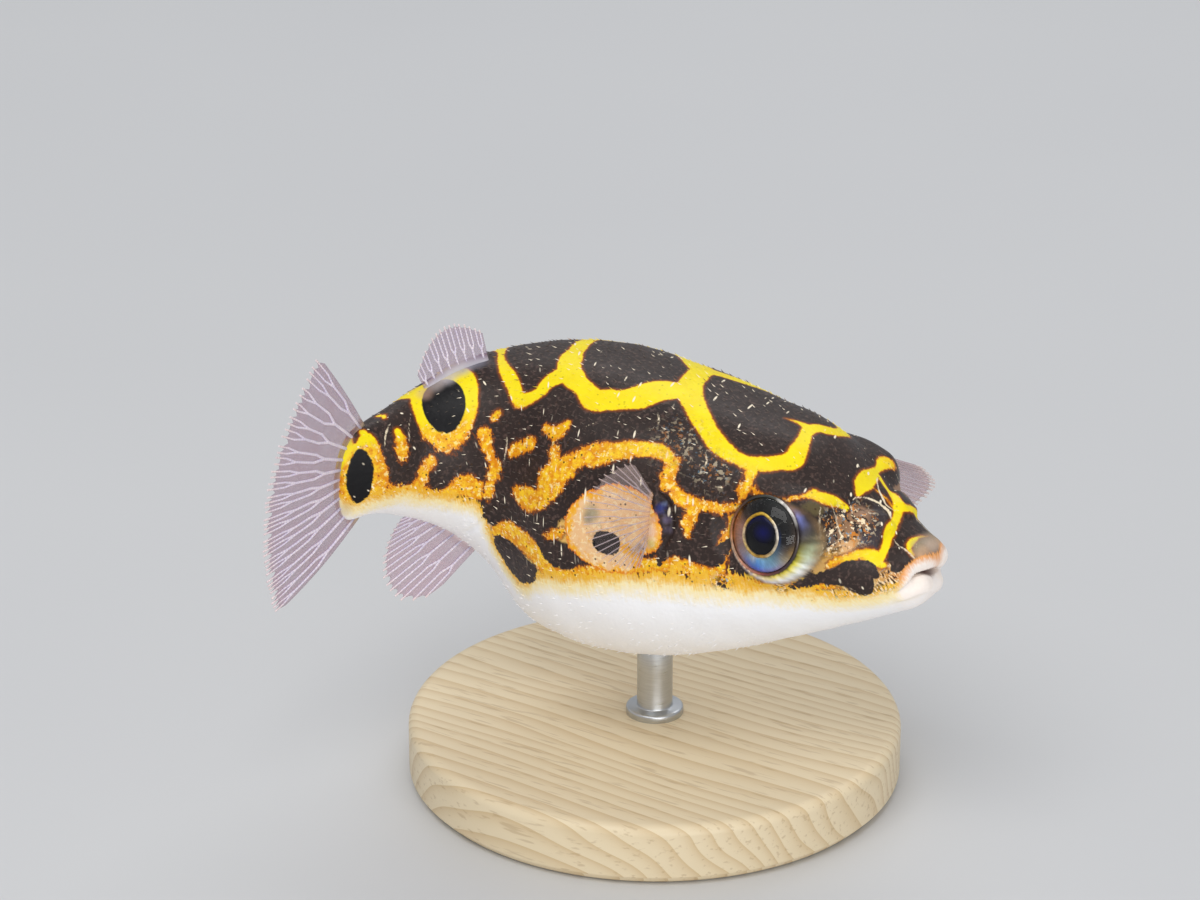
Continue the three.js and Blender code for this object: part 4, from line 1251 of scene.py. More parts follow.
IRIS_CHART = [  # direction, then colour near the pupil, in the middle, further out, at the rim
    (0, (46, 84, 140), (14, 12, 16), (24, 18, 18), (78, 56, 34)),
    (20, (22, 40, 84), (9, 8, 9), (12, 10, 10), (52, 36, 24)),
    (45, (12, 11, 15), (7, 6, 7), (8, 7, 7), (16, 12, 10)),
    (90, (16, 13, 11), (9, 8, 8), (10, 10, 10), (16, 22, 22)),
    (125, (34, 25, 18), (16, 12, 10), (14, 11, 10), (20, 16, 14)),
    (148, (94, 68, 50), (74, 54, 42), (50, 36, 26), (60, 34, 20)),
    (175, (166, 124, 112), (190, 142, 124), (200, 140, 110), (226, 140, 80)),
    (210, (182, 140, 132), (180, 140, 132), (196, 150, 128), (222, 148, 104)),
    (232, (156, 136, 126), (182, 160, 160), (180, 164, 186), (200, 132, 110)),
    # painted highlight: the near-white first stops of the rows from 250 to 272 degrees make a bright spot
    # just under the pupil; the blues further out are the iris's colour
    (250, (216, 216, 210), (160, 184, 214), (120, 146, 226), (120, 96, 176)),
    (261, (240, 242, 246), (214, 226, 240), (96, 150, 228), (88, 84, 214)),
    (272, (220, 230, 230), (110, 184, 246), (84, 150, 250), (110, 100, 236)),
    (288, (136, 140, 82), (150, 206, 244), (140, 190, 244), (140, 120, 214)),
    (308, (112, 122, 66), (120, 164, 184), (140, 174, 200), (160, 140, 186)),
    (330, (62, 92, 112), (92, 112, 130), (150, 140, 120), (190, 172, 142)),
    (345, (44, 84, 124), (66, 74, 84), (96, 78, 60), (170, 134, 72)),
    (360, (46, 84, 140), (14, 12, 16), (24, 18, 18), (78, 56, 34)),
]
# painted highlight: the near-white stops at 0 and 40 degrees, on the ring's front and upper front, stand for
# light caught on the lens's edge; the gold and cream elsewhere are the ring's colour
RING_CHART = [
    (0, (236, 226, 206)), (40, (255, 246, 232)), (75, (252, 214, 96)), (110, (250, 196, 40)),
    (150, (248, 190, 60)), (185, (255, 226, 186)), (225, (252, 214, 130)), (262, (240, 190, 80)),
    (290, (226, 168, 60)), (325, (244, 224, 180)), (360, (236, 226, 206)),
]
# painted highlight: the near-white stops at 50 and 72 degrees make a bright line on the rim's upper front;
# the rest are the rim's colours
RIM_CHART = [
    (0, (62, 44, 34)), (25, (40, 30, 28)), (50, (226, 220, 214)), (72, (232, 226, 216)),
    (84, (56, 60, 52)), (130, (24, 22, 20)), (160, (120, 70, 40)), (190, (206, 134, 92)),
    (215, (246, 196, 156)), (245, (222, 150, 120)), (280, (150, 60, 44)), (310, (58, 14, 24)),
    (340, (36, 14, 26)), (360, (62, 44, 34)),
]


def spread(chart):
    """A one-colour chart as rows with the same colour at two places outwards."""
    return [(way, colour, colour) for way, colour in chart]


def round_tube(radius, height, half_wide, half_high):
    """Profile of a ring round the eye with an oval section."""
    turns = np.radians(np.arange(TUBE_SIDES) * 360 / TUBE_SIDES)
    return [(radius + half_wide * math.cos(t), height + half_high * math.sin(t)) for t in turns]


def ring_colours(chart, rings, places):
    way = np.tile(np.arange(EYE_POINTS) * 360 / EYE_POINTS, (len(rings), 1))
    return chart_colour(chart, way, np.repeat(np.array(rings, float)[:, None], EYE_POINTS, 1), places)


iris_share = np.concatenate([np.linspace(0, 1, IRIS_RINGS), [1.0, 0.5, 0.0]])


def iris_outline(r, way):
    """Rings run from the pupil's edge to the round rim."""
    t = (r - PUPIL_RADIUS) / (IRIS_RADIUS - PUPIL_RADIUS)
    return pupil_edge(way) * (1 - t) + IRIS_RADIUS * t


iris_profile = [(PUPIL_RADIUS + (IRIS_RADIUS - PUPIL_RADIUS) * t,
                 -0.1 + (IRIS_RISE + 0.1) * (1 - t**1.6) ** 0.9)
                for t in iris_share[:IRIS_RINGS]]
iris_profile += [(r, IRIS_BACK) for r in (IRIS_RADIUS, 2.0, PUPIL_RADIUS)]

EYE_PIECES = {}
for side, word in ((1, "right"), (-1, "left")):
    place = EYES[side]
    rings = eye_rings(place, iris_profile, iris_outline)
    iris = mesh_object(f"iris_{word}", *closed_round(rings))
    way = np.tile(np.arange(EYE_POINTS) * 360 / EYE_POINTS, (len(iris_share), 1))
    store(iris.data, "tint", ring_colours(IRIS_CHART, iris_share, [0.02, 0.34, 0.7, 1.0]).reshape(-1, 4))
    ray = np.stack([np.cos(np.radians(way)), np.sin(np.radians(way)),
                    np.repeat(iris_share[:, None], EYE_POINTS, 1)], -1)
    store(iris.data, "ray", ray.reshape(-1, 3))

    lens = mesh_object(f"lens_{word}", *closed_by_points(eye_rings(
        place, dome(PUPIL_RADIUS, IRIS_RISE + 0.22, IRIS_RISE - 0.06, 14, -0.5),
        lambda r, way: pupil_edge(way) * r / PUPIL_RADIUS * 1.015)))
    q = np.array([v.co[:] for v in lens.data.vertices]) / MM - place[0]
    ahead, higher = q @ place[1], q @ place[2]
    # painted sheen: a blue glow just above and ahead of the lens's middle, and a brighter arc along its
    # upper rim, stand for light reflected by the lens
    blue = smoothly(np.hypot(ahead - 0.22, (higher - 0.3) * 1.15), 1.15, 0.0) ** 1.5
    edge = smoothly(np.hypot(ahead, higher), 0.85, 1.3) * smoothly(higher - ahead * 0.4, 0.2, 1.1)
    store(lens.data, "blue", np.clip(0.62 * blue + 0.35 * edge, 0, 1))

    tube = round_tube(PUPIL_RADIUS + 0.09, IRIS_RISE, 0.115, 0.06)
    gold = mesh_object(f"pupil_ring_{word}", *closed_round(eye_rings(
        place, tube, lambda r, way: pupil_edge(way) * 1.01 + (r - PUPIL_RADIUS))))
    store(gold.data, "tint", ring_colours(spread(RING_CHART), [0.5] * TUBE_SIDES, [0, 1]).reshape(-1, 4))

    tube = round_tube(EYE_RADIUS - 0.04, -0.13, 0.13, 0.11)
    rim = mesh_object(f"eye_rim_{word}", *closed_round(eye_rings(place, tube)))
    store(rim.data, "tint", ring_colours(spread(RIM_CHART), [0.5] * TUBE_SIDES, [0, 1]).reshape(-1, 4))

    cornea = mesh_object(f"cornea_{word}", *closed_by_points(eye_rings(
        place, dome(EYE_RADIUS - 0.06, CORNEA_RISE, -0.12, 26, -0.16))))
    EYE_PIECES[side] = [iris, lens, gold, rim, cornea]
print("each eye:", ", ".join(f"{o.name} {len(o.data.polygons)}" for o in EYE_PIECES[1]))

# %% [markdown]
# The iris is fibres of several colours that run out from the pupil, so its noise is stretched along
# the rays. The cornea only adds gloss: it is a clear shader mixed with a mirror by Fresnel, so that
# light passes it freely and the iris stays bright.

# %% Eye finishes
iris_finish, tree, shader = new_material("iris_fibres", Roughness=0.4, Metallic=0.1, Specular_IOR_Level=0.25)
ray = field(tree, "ray", "Vector")
fibres = noise(tree, stretched(tree, ray, (9, 9, 0.9)), 1.7, 4, 0.7)
flecks = noise(tree, stretched(tree, ray, (14, 14, 5)), 1.3, 3)
tint = field(tree, "tint", "Color")
lighter = blend(tree, 0.3, tint, paint(246, 244, 240))
tint = blend(tree, step(tree, fibres, 0.35, 0.62), blend(tree, 0.22, tint, paint(16, 14, 18)), tint)
lit = calc(tree, "MULTIPLY", step(tree, fibres, 0.58, 0.72), step(tree, flecks, 0.42, 0.6))
wire(tree, blend(tree, lit, tint, lighter), shader.inputs["Base Color"])
bump(tree, shader, fibres, 0.5, 0.03)

# near black, with the painted blue sheen stored on the lens's points
lens_finish, tree, shader = new_material("lens_black", Roughness=0.12, Specular_IOR_Level=0.12)
wire(tree, blend(tree, field(tree, "blue"), paint(2, 2, 4), paint(8, 12, 100)), shader.inputs["Base Color"])



def worn_ring(name, share, dull_colour, patches, low, grain, smoothest, **principled):
    """A ring in its chart's colours, dulled in patches: patches and grain are in waves per metre."""
    made, tree, shader = new_material(name, **principled)
    here = object_place(tree)
    tint = field(tree, "tint", "Color")
    bright = step(tree, noise(tree, here, patches, 3), low, 0.6)
    wire(tree, blend(tree, bright, blend(tree, share, tint, dull_colour), tint), shader.inputs["Base Color"])
    wire(tree, calc(tree, "MULTIPLY_ADD", noise(tree, here, grain), 0.3, smoothest),
         shader.inputs["Roughness"])
    return made


ring_finish = worn_ring("gold_ring", 0.5, paint(120, 84, 40), 3200, 0.35, 5000, 0.18, Metallic=0.35)
rim_finish = worn_ring("eye_rim", 0.45, paint(30, 22, 20), 2600, 0.36, 4000, 0.2,
                       Coat_Weight=0.6, Coat_Roughness=0.12)

cornea_finish = bpy.data.materials.new("cornea_clear")
cornea_finish.use_nodes = True
tree = cornea_finish.node_tree
tree.nodes.remove(tree.nodes["Principled BSDF"])
gloss = node(tree, "ShaderNodeBsdfGlossy", {"Roughness": 0.03, "Color": (1, 1, 1, 1)})
clear = node(tree, "ShaderNodeBsdfTransparent", {"Color": (1, 1, 1, 1)})
share_of_gloss = node(tree, "ShaderNodeFresnel", {"IOR": 1.28})
mixed = node(tree, "ShaderNodeMixShader",
             {0: share_of_gloss.outputs[0], 1: clear.outputs[0], 2: gloss.outputs[0]})
wire(tree, mixed.outputs[0], tree.nodes["Material Output"].inputs["Surface"])

for side, pieces in EYE_PIECES.items():
    for piece, finish in zip(pieces, (iris_finish, lens_finish, ring_finish, rim_finish, cornea_finish)):
        piece.data.materials.append(finish)
        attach(piece, "root")
    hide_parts("eye_right" if side == 1 else "eye_left")
print("eye finishes made")

# %% [markdown]
# ## Fins
# A fin is a clear skin stretched over soft rays that fork towards the edge. Each fin has one rule, from
# a share of its root and a share of its ray to a place, and both the skin and the rays are made from
# it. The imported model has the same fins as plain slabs, with the same roots, ray angles and lengths.

# %% Fin rules
def turned(vector, axis, degrees):
    """A vector turned about an axis."""
    a = math.radians(degrees)
    return vector * math.cos(a) + np.cross(axis,
                                           vector) * math.sin(a) + axis * (axis @ vector) * (1 - math.cos(a))


def fin_rule(root, angle, length, frame, lean=1.0, bend=0.0):
    """Place in mm from the share of the root and the share of the ray.

    angle and length each hold the first ray's, the last ray's, and how far the middle ray stands off
    the straight run between them. A lean below 1 moves the longest ray towards the first.
    """
    back, rise, across = frame

    def run(ends, s, hump):
        first, last, bow = ends
        return first + (last - first) * s + bow * hump

    def place(s, r):
        s, r = np.broadcast_arrays(np.asarray(s, float), np.asarray(r, float))
        turn = np.radians(run(angle, s, np.sin(np.pi * s)))
        reach = run(length, s, np.sin(np.pi * s**lean)) * r
        spread_out = back * (np.cos(turn) * reach)[..., None] + rise * (np.sin(turn) * reach)[..., None]
        return root(s) + spread_out + across * (bend * reach**2)[..., None]
    return place


tail_forward, tail_left, tail_up = body_frame(47)
fan_back = turned(turned(-tail_forward, tail_left, 13), tail_up, 14)
fan_up = turned(tail_up, tail_left, 13)
rear_forward, rear_left, rear_up = body_frame(38.5)
vent_forward, vent_left, vent_up = body_frame(39.5)
chest_forward, chest_left, chest_up = body_frame(18)

# rule, then rays, forks of each ray, half a ray's thickness in mm, finish, reach and thickness of the flesh
FINS = {
    "caudal_fin": (fin_rule(
        lambda s: body_point(46.8 + 1.9 * np.sin(np.pi * s), 0, -2.4 + 7 * s),
        (-46, 38, -6), (9.5, 8.5, -0.8), (fan_back, fan_up, np.cross(fan_up, fan_back)), bend=-0.014), 11, 2,
        0.1, "tail", 0.1, 0.1),
    "dorsal_fin": (fin_rule(
        lambda s: skin_point(36.3 + 4.9 * s, 0, -0.3), (74, 62, 2), (2.5, 1.5, 1.8),
        (-rear_forward, rear_up, rear_left)), 8, 1, 0.075, "back", 0.22, 0.13),
    "anal_fin": (fin_rule(
        lambda s: skin_point(36.2 + 5.3 * s, 180, -0.4), (-44, -14, 0), (4, 1, 3.5),
        (-vent_forward, vent_up, vent_left), lean=0.6), 8, 1, 0.085, "vent", 0.12, 0.1),
    "pectoral_fin_right": (fin_rule(
        lambda s: skin_point(18 + 0.2 * s, 80 - 18 * s, 0.66), (-80, 55, -5), (1.8, 2.6, 2.4),
        (turned(-chest_forward, chest_up, 22), turned(chest_up, chest_forward, -2), -chest_left)),
        12, 1, 0.045, "clear", 0.1, 0.02),
    "pectoral_fin_left": (fin_rule(
        lambda s: skin_point(16.9 + 0.2 * s, -79 + 17 * s, 0), (-26, -18, 3), (9.5, 10.5, 1.5),
        (turned(chest_left, chest_up, -50), chest_up, chest_forward)), 7, 1, 0.095, "far", 0.1, 0.1),
}
for name, row in FINS.items():
    low, high = (np.array(corner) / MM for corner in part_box(name))
    spans = [float(np.linalg.norm(row[0](s, 1) - row[0](s, 0))) for s in np.linspace(0, 1, 41)]
    print(name, "rays", round(min(spans), 1), "to", round(max(spans), 1), "mm, box",
          np.round(high - low, 1).tolist())

# %% [markdown]
# A ray is a stem that forks once or twice on its way out. A small plan of the forks gives
# every branch its share of the root at its start and its end; the tips are kept, because the skin's
# edge is scalloped between them.

# %% Plan of the rays
def ray_plan(rays, forks, rng):
    """Plans the branches and gives the tips' shares of the root.

    A branch is its start and end as shares of the ray, its start and end as shares of the root, and
    its level.
    """
    step_s = 1 / rays
    branches, tips = [], []

    def grow(s, r, width, level):
        if level == forks:
            tips.append(s)
            branches.append((r, 1.0, s, s, level))
            return
        end = min(0.9, r + (0.36 if level == 0 else 0.22) * rng.uniform(0.8, 1.2))
        branches.append((r, end, s, s, level))
        for way in (-1, 1):
            away = width * 0.25 * rng.uniform(0.85, 1.1)
            meet = min(0.96, end + 0.14)
            branches.append((end, meet, s, s + way * away, level + 0.5))
            grow(s + way * away, meet, width * 0.52, level + 1)

    for k in range(rays):
        grow((k + 0.5) * step_s, 0.0, step_s * 0.92, 0)
    return branches, sorted(tips)


def ray_lines(rule, branches, thick, rng):
    """Polylines of all branches: points in mm, edges, thickness and place along."""
    points, edges, fat, along = [], [], [], []
    for start, end, s0, s1, level in branches:
        steps = max(3, round((end - start) * 22))
        t = np.linspace(0, 1, steps)
        reach = start + (end - start) * t
        over = 1.0 + 0.018 * rng.uniform(0.2, 1.4)
        reach = np.where(end == 1.0, start + (end * over - start) * t, reach)
        line = rule(np.clip(s0 + (s1 - s0) * ease(t), 0.004, 0.996), reach)
        first = len(points)
        points.extend(line)
        edges.extend((first + i, first + i + 1) for i in range(steps - 1))
        fat.extend(thick * (1 - 0.13 * level) * (1 - 0.32 * reach))
        along.extend(reach)
    return np.array(points), edges, np.array(fat), np.array(along)


tail_rays, tail_forks = FINS["caudal_fin"][1:3]
example = ray_plan(tail_rays, tail_forks, np.random.default_rng(3))
print("a tail fin of", tail_rays, "rays has", len(example[1]), "tips")

# %% [markdown]
# The rays are swept by a Geometry Nodes tree: the lines become curves, a small round profile runs
# along them at each point's own thickness, and the tubes are realized and given their material.

# %% Sweeping tree
def sweeping_tree():
    tree = bpy.data.node_groups.new("swept_fin_rays", "GeometryNodeTree")
    face = tree.interface
    face.new_socket("Geometry", in_out="INPUT", socket_type="NodeSocketGeometry")
    for label, kind, value in (("Thickness", "NodeSocketFloat", 1.0), ("Sides", "NodeSocketInt", 6),
                               ("Finish", "NodeSocketMaterial", None)):
        face.new_socket(label, in_out="INPUT", socket_type=kind).default_value = value
    face.new_socket("Geometry", in_out="OUTPUT", socket_type="NodeSocketGeometry")
    given, result = tree.nodes.new("NodeGroupInput").outputs, tree.nodes.new("NodeGroupOutput")
    curves = node(tree, "GeometryNodeMeshToCurve", {"Mesh": given["Geometry"]})
    ring = node(tree, "GeometryNodeCurvePrimitiveCircle", {"Resolution": given["Sides"], "Radius": 1.0})
    size = calc(tree, "MULTIPLY", named(tree, "thick"), given["Thickness"])
    tube = node(tree, "GeometryNodeCurveToMesh", {
        "Curve": curves.outputs[0], "Profile Curve": ring.outputs[0], "Scale": size, "Fill Caps": True})
    soft = node(tree, "GeometryNodeSetShadeSmooth", {"Geometry": tube.outputs[0]})
    real = node(tree, "GeometryNodeRealizeInstances", {"Geometry": soft.outputs[0]})
    done = node(tree, "GeometryNodeSetMaterial", {"Geometry": real.outputs[0], "Material": given["Finish"]})
    wire(tree, done.outputs[0], result.inputs[0])
    return tree


def settle(made, tree, name, **inputs):
    """Runs a tree on an object and returns its result as a plain mesh object; the first one is removed."""
    modifier = made.modifiers.new("rule", "NODES")
    modifier.node_group = tree
    for item in tree.interface.items_tree:
        if item.item_type == "SOCKET" and item.in_out == "INPUT" and item.name in inputs:
            modifier[item.identifier] = inputs[item.name]
    bpy.context.view_layer.update()
    mesh = bpy.data.meshes.new_from_object(made.evaluated_get(bpy.context.evaluated_depsgraph_get()))
    mesh.name = name
    made.modifiers.remove(modifier)
    bpy.data.objects.remove(made)
    result = bpy.data.objects.new(name, mesh)
    scene.collection.objects.link(result)
    return result


# %% [markdown]
# The rays are whitish lilac, jointed every quarter of a millimetre, and bluer near the root, where the
# flesh covers them. The skin between them is clear mauve; the flesh at its root hides more.

# %% Fin finishes
def ray_skin(name, low, high, root, **principled):
    """Finish of the rays: low and high are its two tones, root the colour of the flesh over their foot."""
    made, tree, shader = new_material(name, Roughness=0.42, Specular_IOR_Level=0.35, **principled)
    along = field(tree, "along")
    here = object_place(tree)
    joint = calc(tree, "SINE", calc(tree, "MULTIPLY", field(tree, "run"), 2 * math.pi / 0.26))
    pale = blend(tree, noise(tree, here, 1500, 3), low, high)
    pale = blend(tree, step(tree, joint, 0.45, 0.95, 0, 0.4), pale, blend(tree, 0.5, low, root))
    near_root = calc(tree, "MULTIPLY_ADD", noise(tree, here, 1100, 2), 0.25, along)
    pale = blend(tree, step(tree, near_root, 0.36, 0.14, 0, 0.6), pale, root)
    pale = blend(tree, step(tree, along, 0.86, 1.0, 0, 0.5), pale, paint(240, 214, 200))
    wire(tree, pale, shader.inputs["Base Color"])
    bump(tree, shader, joint, 0.4, 0.02)
    return made


RAY_SKINS = {
    "firm": ray_skin("fin_ray", paint(216, 206, 234), paint(255, 246, 250), paint(120, 122, 160)),
    "soft": ray_skin("side_fin_ray", paint(178, 164, 176), paint(226, 210, 212), paint(214, 170, 140),
                     Alpha=0.42),
}


def membrane(name, thin_cover, colour_in, colour_out, flesh, root_cover=0.92, first=1.0):
    """Fin skin: how much its thin part covers, and the flesh at its root.

    first is the share of the cover that is kept near the first ray.
    """
    made, tree, shader = new_material(name, Roughness=0.3, Specular_IOR_Level=0.35)
    here = object_place(tree)
    root = field(tree, "flesh")
    cloud = noise(tree, here, 520, 4, 0.6)
    colour = blend(tree, cloud, colour_in, colour_out)
    colour = blend(tree, calc(tree, "MULTIPLY_ADD", cloud, 0.3, root, clamp=True), colour, flesh)
    wire(tree, colour, shader.inputs["Base Color"])
    thin = calc(tree, "MULTIPLY_ADD", calc(tree, "SUBTRACT", cloud, 0.5), 0.3, thin_cover)
    thin = calc(tree, "MULTIPLY", thin, step(tree, field(tree, "share"), 0.5, 0.8, first, 1.0))
    alpha = calc(tree, "MULTIPLY_ADD", step(tree, root, 0.02, 0.8), root_cover - thin_cover, thin,
                 clamp=True)
    wire(tree, alpha, shader.inputs["Alpha"])
    bump(tree, shader, noise(tree, here, 2600, 2), 0.25, 0.02)
    return made


FIN_SKINS = {
    "tail": membrane("tail_fin_skin", 0.38, paint(138, 92, 134), paint(180, 138, 172), paint(196, 176, 150)),
    "back": membrane("back_fin_skin", 0.36, paint(138, 98, 136), paint(180, 142, 170), paint(204, 200, 208)),
    "vent": membrane("vent_fin_skin", 0.33, paint(150, 100, 134), paint(194, 146, 170),
                     paint(222, 208, 210)),
    "far": membrane("left_fin_skin", 0.36, paint(150, 114, 138), paint(198, 162, 176), paint(222, 208, 210)),
    "clear": membrane("side_fin_skin", 0.13, paint(188, 168, 172), paint(216, 198, 196),
                      paint(236, 186, 140), 0.4, 0.3),
}
print("fin finishes made")

# %% [markdown]
# Each fin is now built: its plan of rays is drawn, the skin is scalloped between their tips, and the
# swept rays are laid in it. Near its root the skin is plump, as flesh, and it thins to a film outside.

# %% Fin pieces
RAYS = sweeping_tree()
RAY_SWELL, RAY_SIDES = 1.4, 6
FILM_HALF = 0.022                      # half the thickness of the fin's film, in mm
SCALLOP = {"far": 0.02}                # depth of the scallops as a share of the ray, for all others 0.06


def fin_skin(name, rule, tips, flesh, plump, across, scallop, outward=26):
    """A thin closed sheet whose outer edge is scalloped between the tips of the rays."""
    s = np.unique(np.concatenate([np.linspace(0, 1, across), tips]))
    marks = np.concatenate([[-0.02], tips, [1.02]])
    k = np.clip(np.searchsorted(marks, s, side="right") - 1, 0, len(marks) - 2)
    u = (s - marks[k]) / np.maximum(marks[k + 1] - marks[k], 1e-6)
    gap = np.clip((marks[k + 1] - marks[k]) * len(tips), 0.2, 1.5)
    edge = 1 - scallop * gap * np.sin(np.pi * np.clip(u, 0, 1)) ** 0.8
    r = np.linspace(0, 1, outward) ** 0.9
    S, R = np.meshgrid(s, r, indexing="ij")
    middle_sheet = rule(S, R * edge[:, None])
    n = np.cross(np.gradient(middle_sheet, axis=0), np.gradient(middle_sheet, axis=1))
    n /= np.maximum(np.linalg.norm(n, axis=-1, keepdims=True), 1e-9)
    root_share = np.exp(-((R * edge[:, None] / flesh) ** 2))
    rounded = np.sqrt(np.clip(np.minimum(S, 1 - S) / 0.03, 0.15, 1))
    half = (FILM_HALF + plump * root_share * rounded)[..., None]
    wave = 0.02 * np.cos(2 * np.pi * np.interp(S, tips, np.arange(len(tips)))) * R * (1 - root_share)
    sides = [middle_sheet + n * (wave[..., None] + half), middle_sheet + n * (wave[..., None] - half)]
    points = np.concatenate([one_side.reshape(-1, 3) for one_side in sides])
    rows, columns = S.shape
    i, j = np.meshgrid(np.arange(rows - 1), np.arange(columns - 1), indexing="ij")
    quads = np.stack([i * columns + j, (i + 1) * columns + j, (i + 1) * columns + j + 1,
                      i * columns + j + 1], -1)
    quads = quads.reshape(-1, 4)
    other = rows * columns
    faces = quads.tolist() + (quads[:, ::-1] + other).tolist()
    border = [(i, 0) for i in range(rows)] + [(rows - 1, j) for j in range(1, columns)]
    border += [(i, columns - 1) for i in range(rows - 2, -1, -1)] + [(0, j)
        for j in range(columns - 2, 0, -1)]
    loop = [i * columns + j for i, j in border]
    for a, b in zip(loop, loop[1:] + loop[:1]):
        faces.append((b, a, a + other, b + other))
    sheet = mesh_object(name, points, outward_faces(points, faces))
    store(sheet.data, "flesh", np.tile(root_share.ravel(), 2))
    store(sheet.data, "share", np.tile(S.ravel(), 2))
    return sheet


for number, (name, (rule, rays, forks, thick, skin_kind, flesh, plump)) in enumerate(FINS.items()):
    rng = np.random.default_rng(40 + number)
    branches, tips = ray_plan(rays, forks, rng)
    sheet = fin_skin(f"{name}_skin", rule, tips, flesh, plump, 8 * rays, SCALLOP.get(skin_kind, 0.06))
    sheet.data.materials.append(FIN_SKINS[skin_kind])
    points, edges, fat, along = ray_lines(rule, branches, thick, rng)
    lines = mesh_object(f"{name}_lines", points, [], edges)
    store(lines.data, "thick", fat * MM)
    store(lines.data, "along", along)
    store(lines.data, "run", along * np.linalg.norm(rule(0.5, 1) - rule(0.5, 0)))
    swept = settle(lines, RAYS, f"{name}_rays", Thickness=RAY_SWELL, Sides=RAY_SIDES,
                   Finish=RAY_SKINS["soft" if skin_kind in ("clear", "far") else "firm"])
    for piece in (sheet, swept):
        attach(piece, "root")
    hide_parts(name)
    print(name, len(tips), "tips,", triangles(sheet), "+", triangles(swept), "triangles")


# %% [markdown]
# ## Coat of prickles
# The skin carries tiny spines that lie flat, point to the tail and only rise when the fish swells.
# They are too many to place by hand, so a Geometry Nodes tree scatters points that keep a least
# distance and stands a small closed cone on each, leaning back along the body. Where a mask on the
# skin is 0 (eyes, lips, roots of the fins) none grow, and on the face they are shorter.

# %% Where prickles grow
tailward = np.gradient(skin, axis=0)
tailward /= np.maximum(np.linalg.norm(tailward, axis=-1, keepdims=True), 1e-9)
growth = smoothly(X, 2.2, 4.0) * (1 - smoothly(X, 46.2, 47.6)) * (1 - 0.6 * smoothly(belly, -0.3, 2.0))
growth = growth * (1 - smoothly(peach, -0.9, -0.3)) * np.where(at_eye, smoothly(socket, 1.1, 1.5), 1)
growth = growth * np.where((np.abs(X - 38.8) < 3.0) & ((np.abs(A) < 9) | (np.abs(A) > 171)), 0, 1)
ground = bpy.data.objects.new("prickle_ground", hide.data.copy())
scene.collection.objects.link(ground)
store(ground.data, "tailward", flat(tailward))
store(ground.data, "growth", flat(growth))
store(ground.data, "length", flat(0.5 + 0.5 * smoothly(X, 6, 15) - 0.25 * smoothly(X, 38, 46)))
store(ground.data, "place_x", flat(X))
store(ground.data, "place_a", flat(A))
print("prickles grow on", round(float((growth > 0.3).mean()) * 100), "% of the points")

# %% [markdown]
# The cone has four sides and a closed foot, sunk a little into the skin so that no gap shows under
# the leaning spine. Its length, thickness, lean and spacing are inputs of the tree.

# %% Scattering tree
def prickle_tree():
    tree = bpy.data.node_groups.new("scattered_prickles", "GeometryNodeTree")
    face = tree.interface
    face.new_socket("Geometry", in_out="INPUT", socket_type="NodeSocketGeometry")
    for label, kind, value in (("Least distance", "NodeSocketFloat", 0.0005),
                               ("Length", "NodeSocketFloat", 0.0004),
                               ("Thickness", "NodeSocketFloat", 0.00006), ("Lean", "NodeSocketFloat", 2.2),
                               ("Scatter of lean", "NodeSocketFloat", 0.3), ("Seed", "NodeSocketInt", 7),
                               ("Finish", "NodeSocketMaterial", None)):
        face.new_socket(label, in_out="INPUT", socket_type=kind).default_value = value
    face.new_socket("Geometry", in_out="OUTPUT", socket_type="NodeSocketGeometry")
    given, result = tree.nodes.new("NodeGroupInput").outputs, tree.nodes.new("NodeGroupOutput")
    spots = node(tree, "GeometryNodeDistributePointsOnFaces", {
        "Mesh": given["Geometry"], "Distance Min": given["Least distance"], "Density Max": 9e6,
        "Density Factor": named(tree, "growth"), "Seed": given["Seed"]}, distribute_method="POISSON")
    sway = node(tree, "FunctionNodeRandomValue", {0: (-1, -1, -1), 1: (1, 1, 1), "Seed": 3},
                data_type="FLOAT_VECTOR")
    swayed = vector_step(tree, "SCALE", sway.outputs[0], given["Scatter of lean"])
    leaning = vector_step(tree, "SCALE", named(tree, "tailward", "FLOAT_VECTOR"), given["Lean"])
    ways = vector_step(tree, "ADD", vector_step(tree, "ADD", leaning, swayed), spots.outputs["Normal"])
    turn_to = node(tree, "FunctionNodeAlignRotationToVector", {"Vector": ways}, axis="Z")
    inward = calc(tree, "MULTIPLY", given["Thickness"], -1.1)
    sunk = vector_step(tree, "SCALE", spots.outputs["Normal"], inward)
    rooted = node(tree, "GeometryNodeSetPosition", {"Geometry": spots.outputs["Points"], "Offset": sunk})
    cone = node(tree, "GeometryNodeMeshCone", {
        "Vertices": 4, "Side Segments": 1, "Fill Segments": 1, "Radius Top": 0.0,
        "Radius Bottom": given["Thickness"], "Depth": given["Length"]}, fill_type="NGON")
    varied = node(tree, "FunctionNodeRandomValue", {2: 0.7, 3: 1.25, "Seed": 11}, data_type="FLOAT")
    local = named(tree, "length")
    tall = calc(tree, "MULTIPLY", varied.outputs[1], local)
    wide = calc(tree, "MULTIPLY_ADD", local, 0.4, 0.6)
    size = node(tree, "ShaderNodeCombineXYZ", {0: wide, 1: wide, 2: tall})
    stood = node(tree, "GeometryNodeInstanceOnPoints", {
        "Points": rooted.outputs[0], "Instance": cone.outputs[0],
        "Rotation": turn_to.outputs[0], "Scale": size.outputs[0]})
    real = node(tree, "GeometryNodeRealizeInstances", {"Geometry": stood.outputs[0]})
    done = node(tree, "GeometryNodeSetMaterial", {"Geometry": real.outputs[0], "Material": given["Finish"]})
    wire(tree, done.outputs[0], result.inputs[0])
    return tree


PRICKLES = prickle_tree()
print("scattering tree has", len(PRICKLES.nodes), "nodes")

# %% [markdown]
# A prickle wears the skin's own pattern, read at its root, so the markings run on through the coat.
# About one in five is a pale one, as on the real fish, where their tips have broken through.

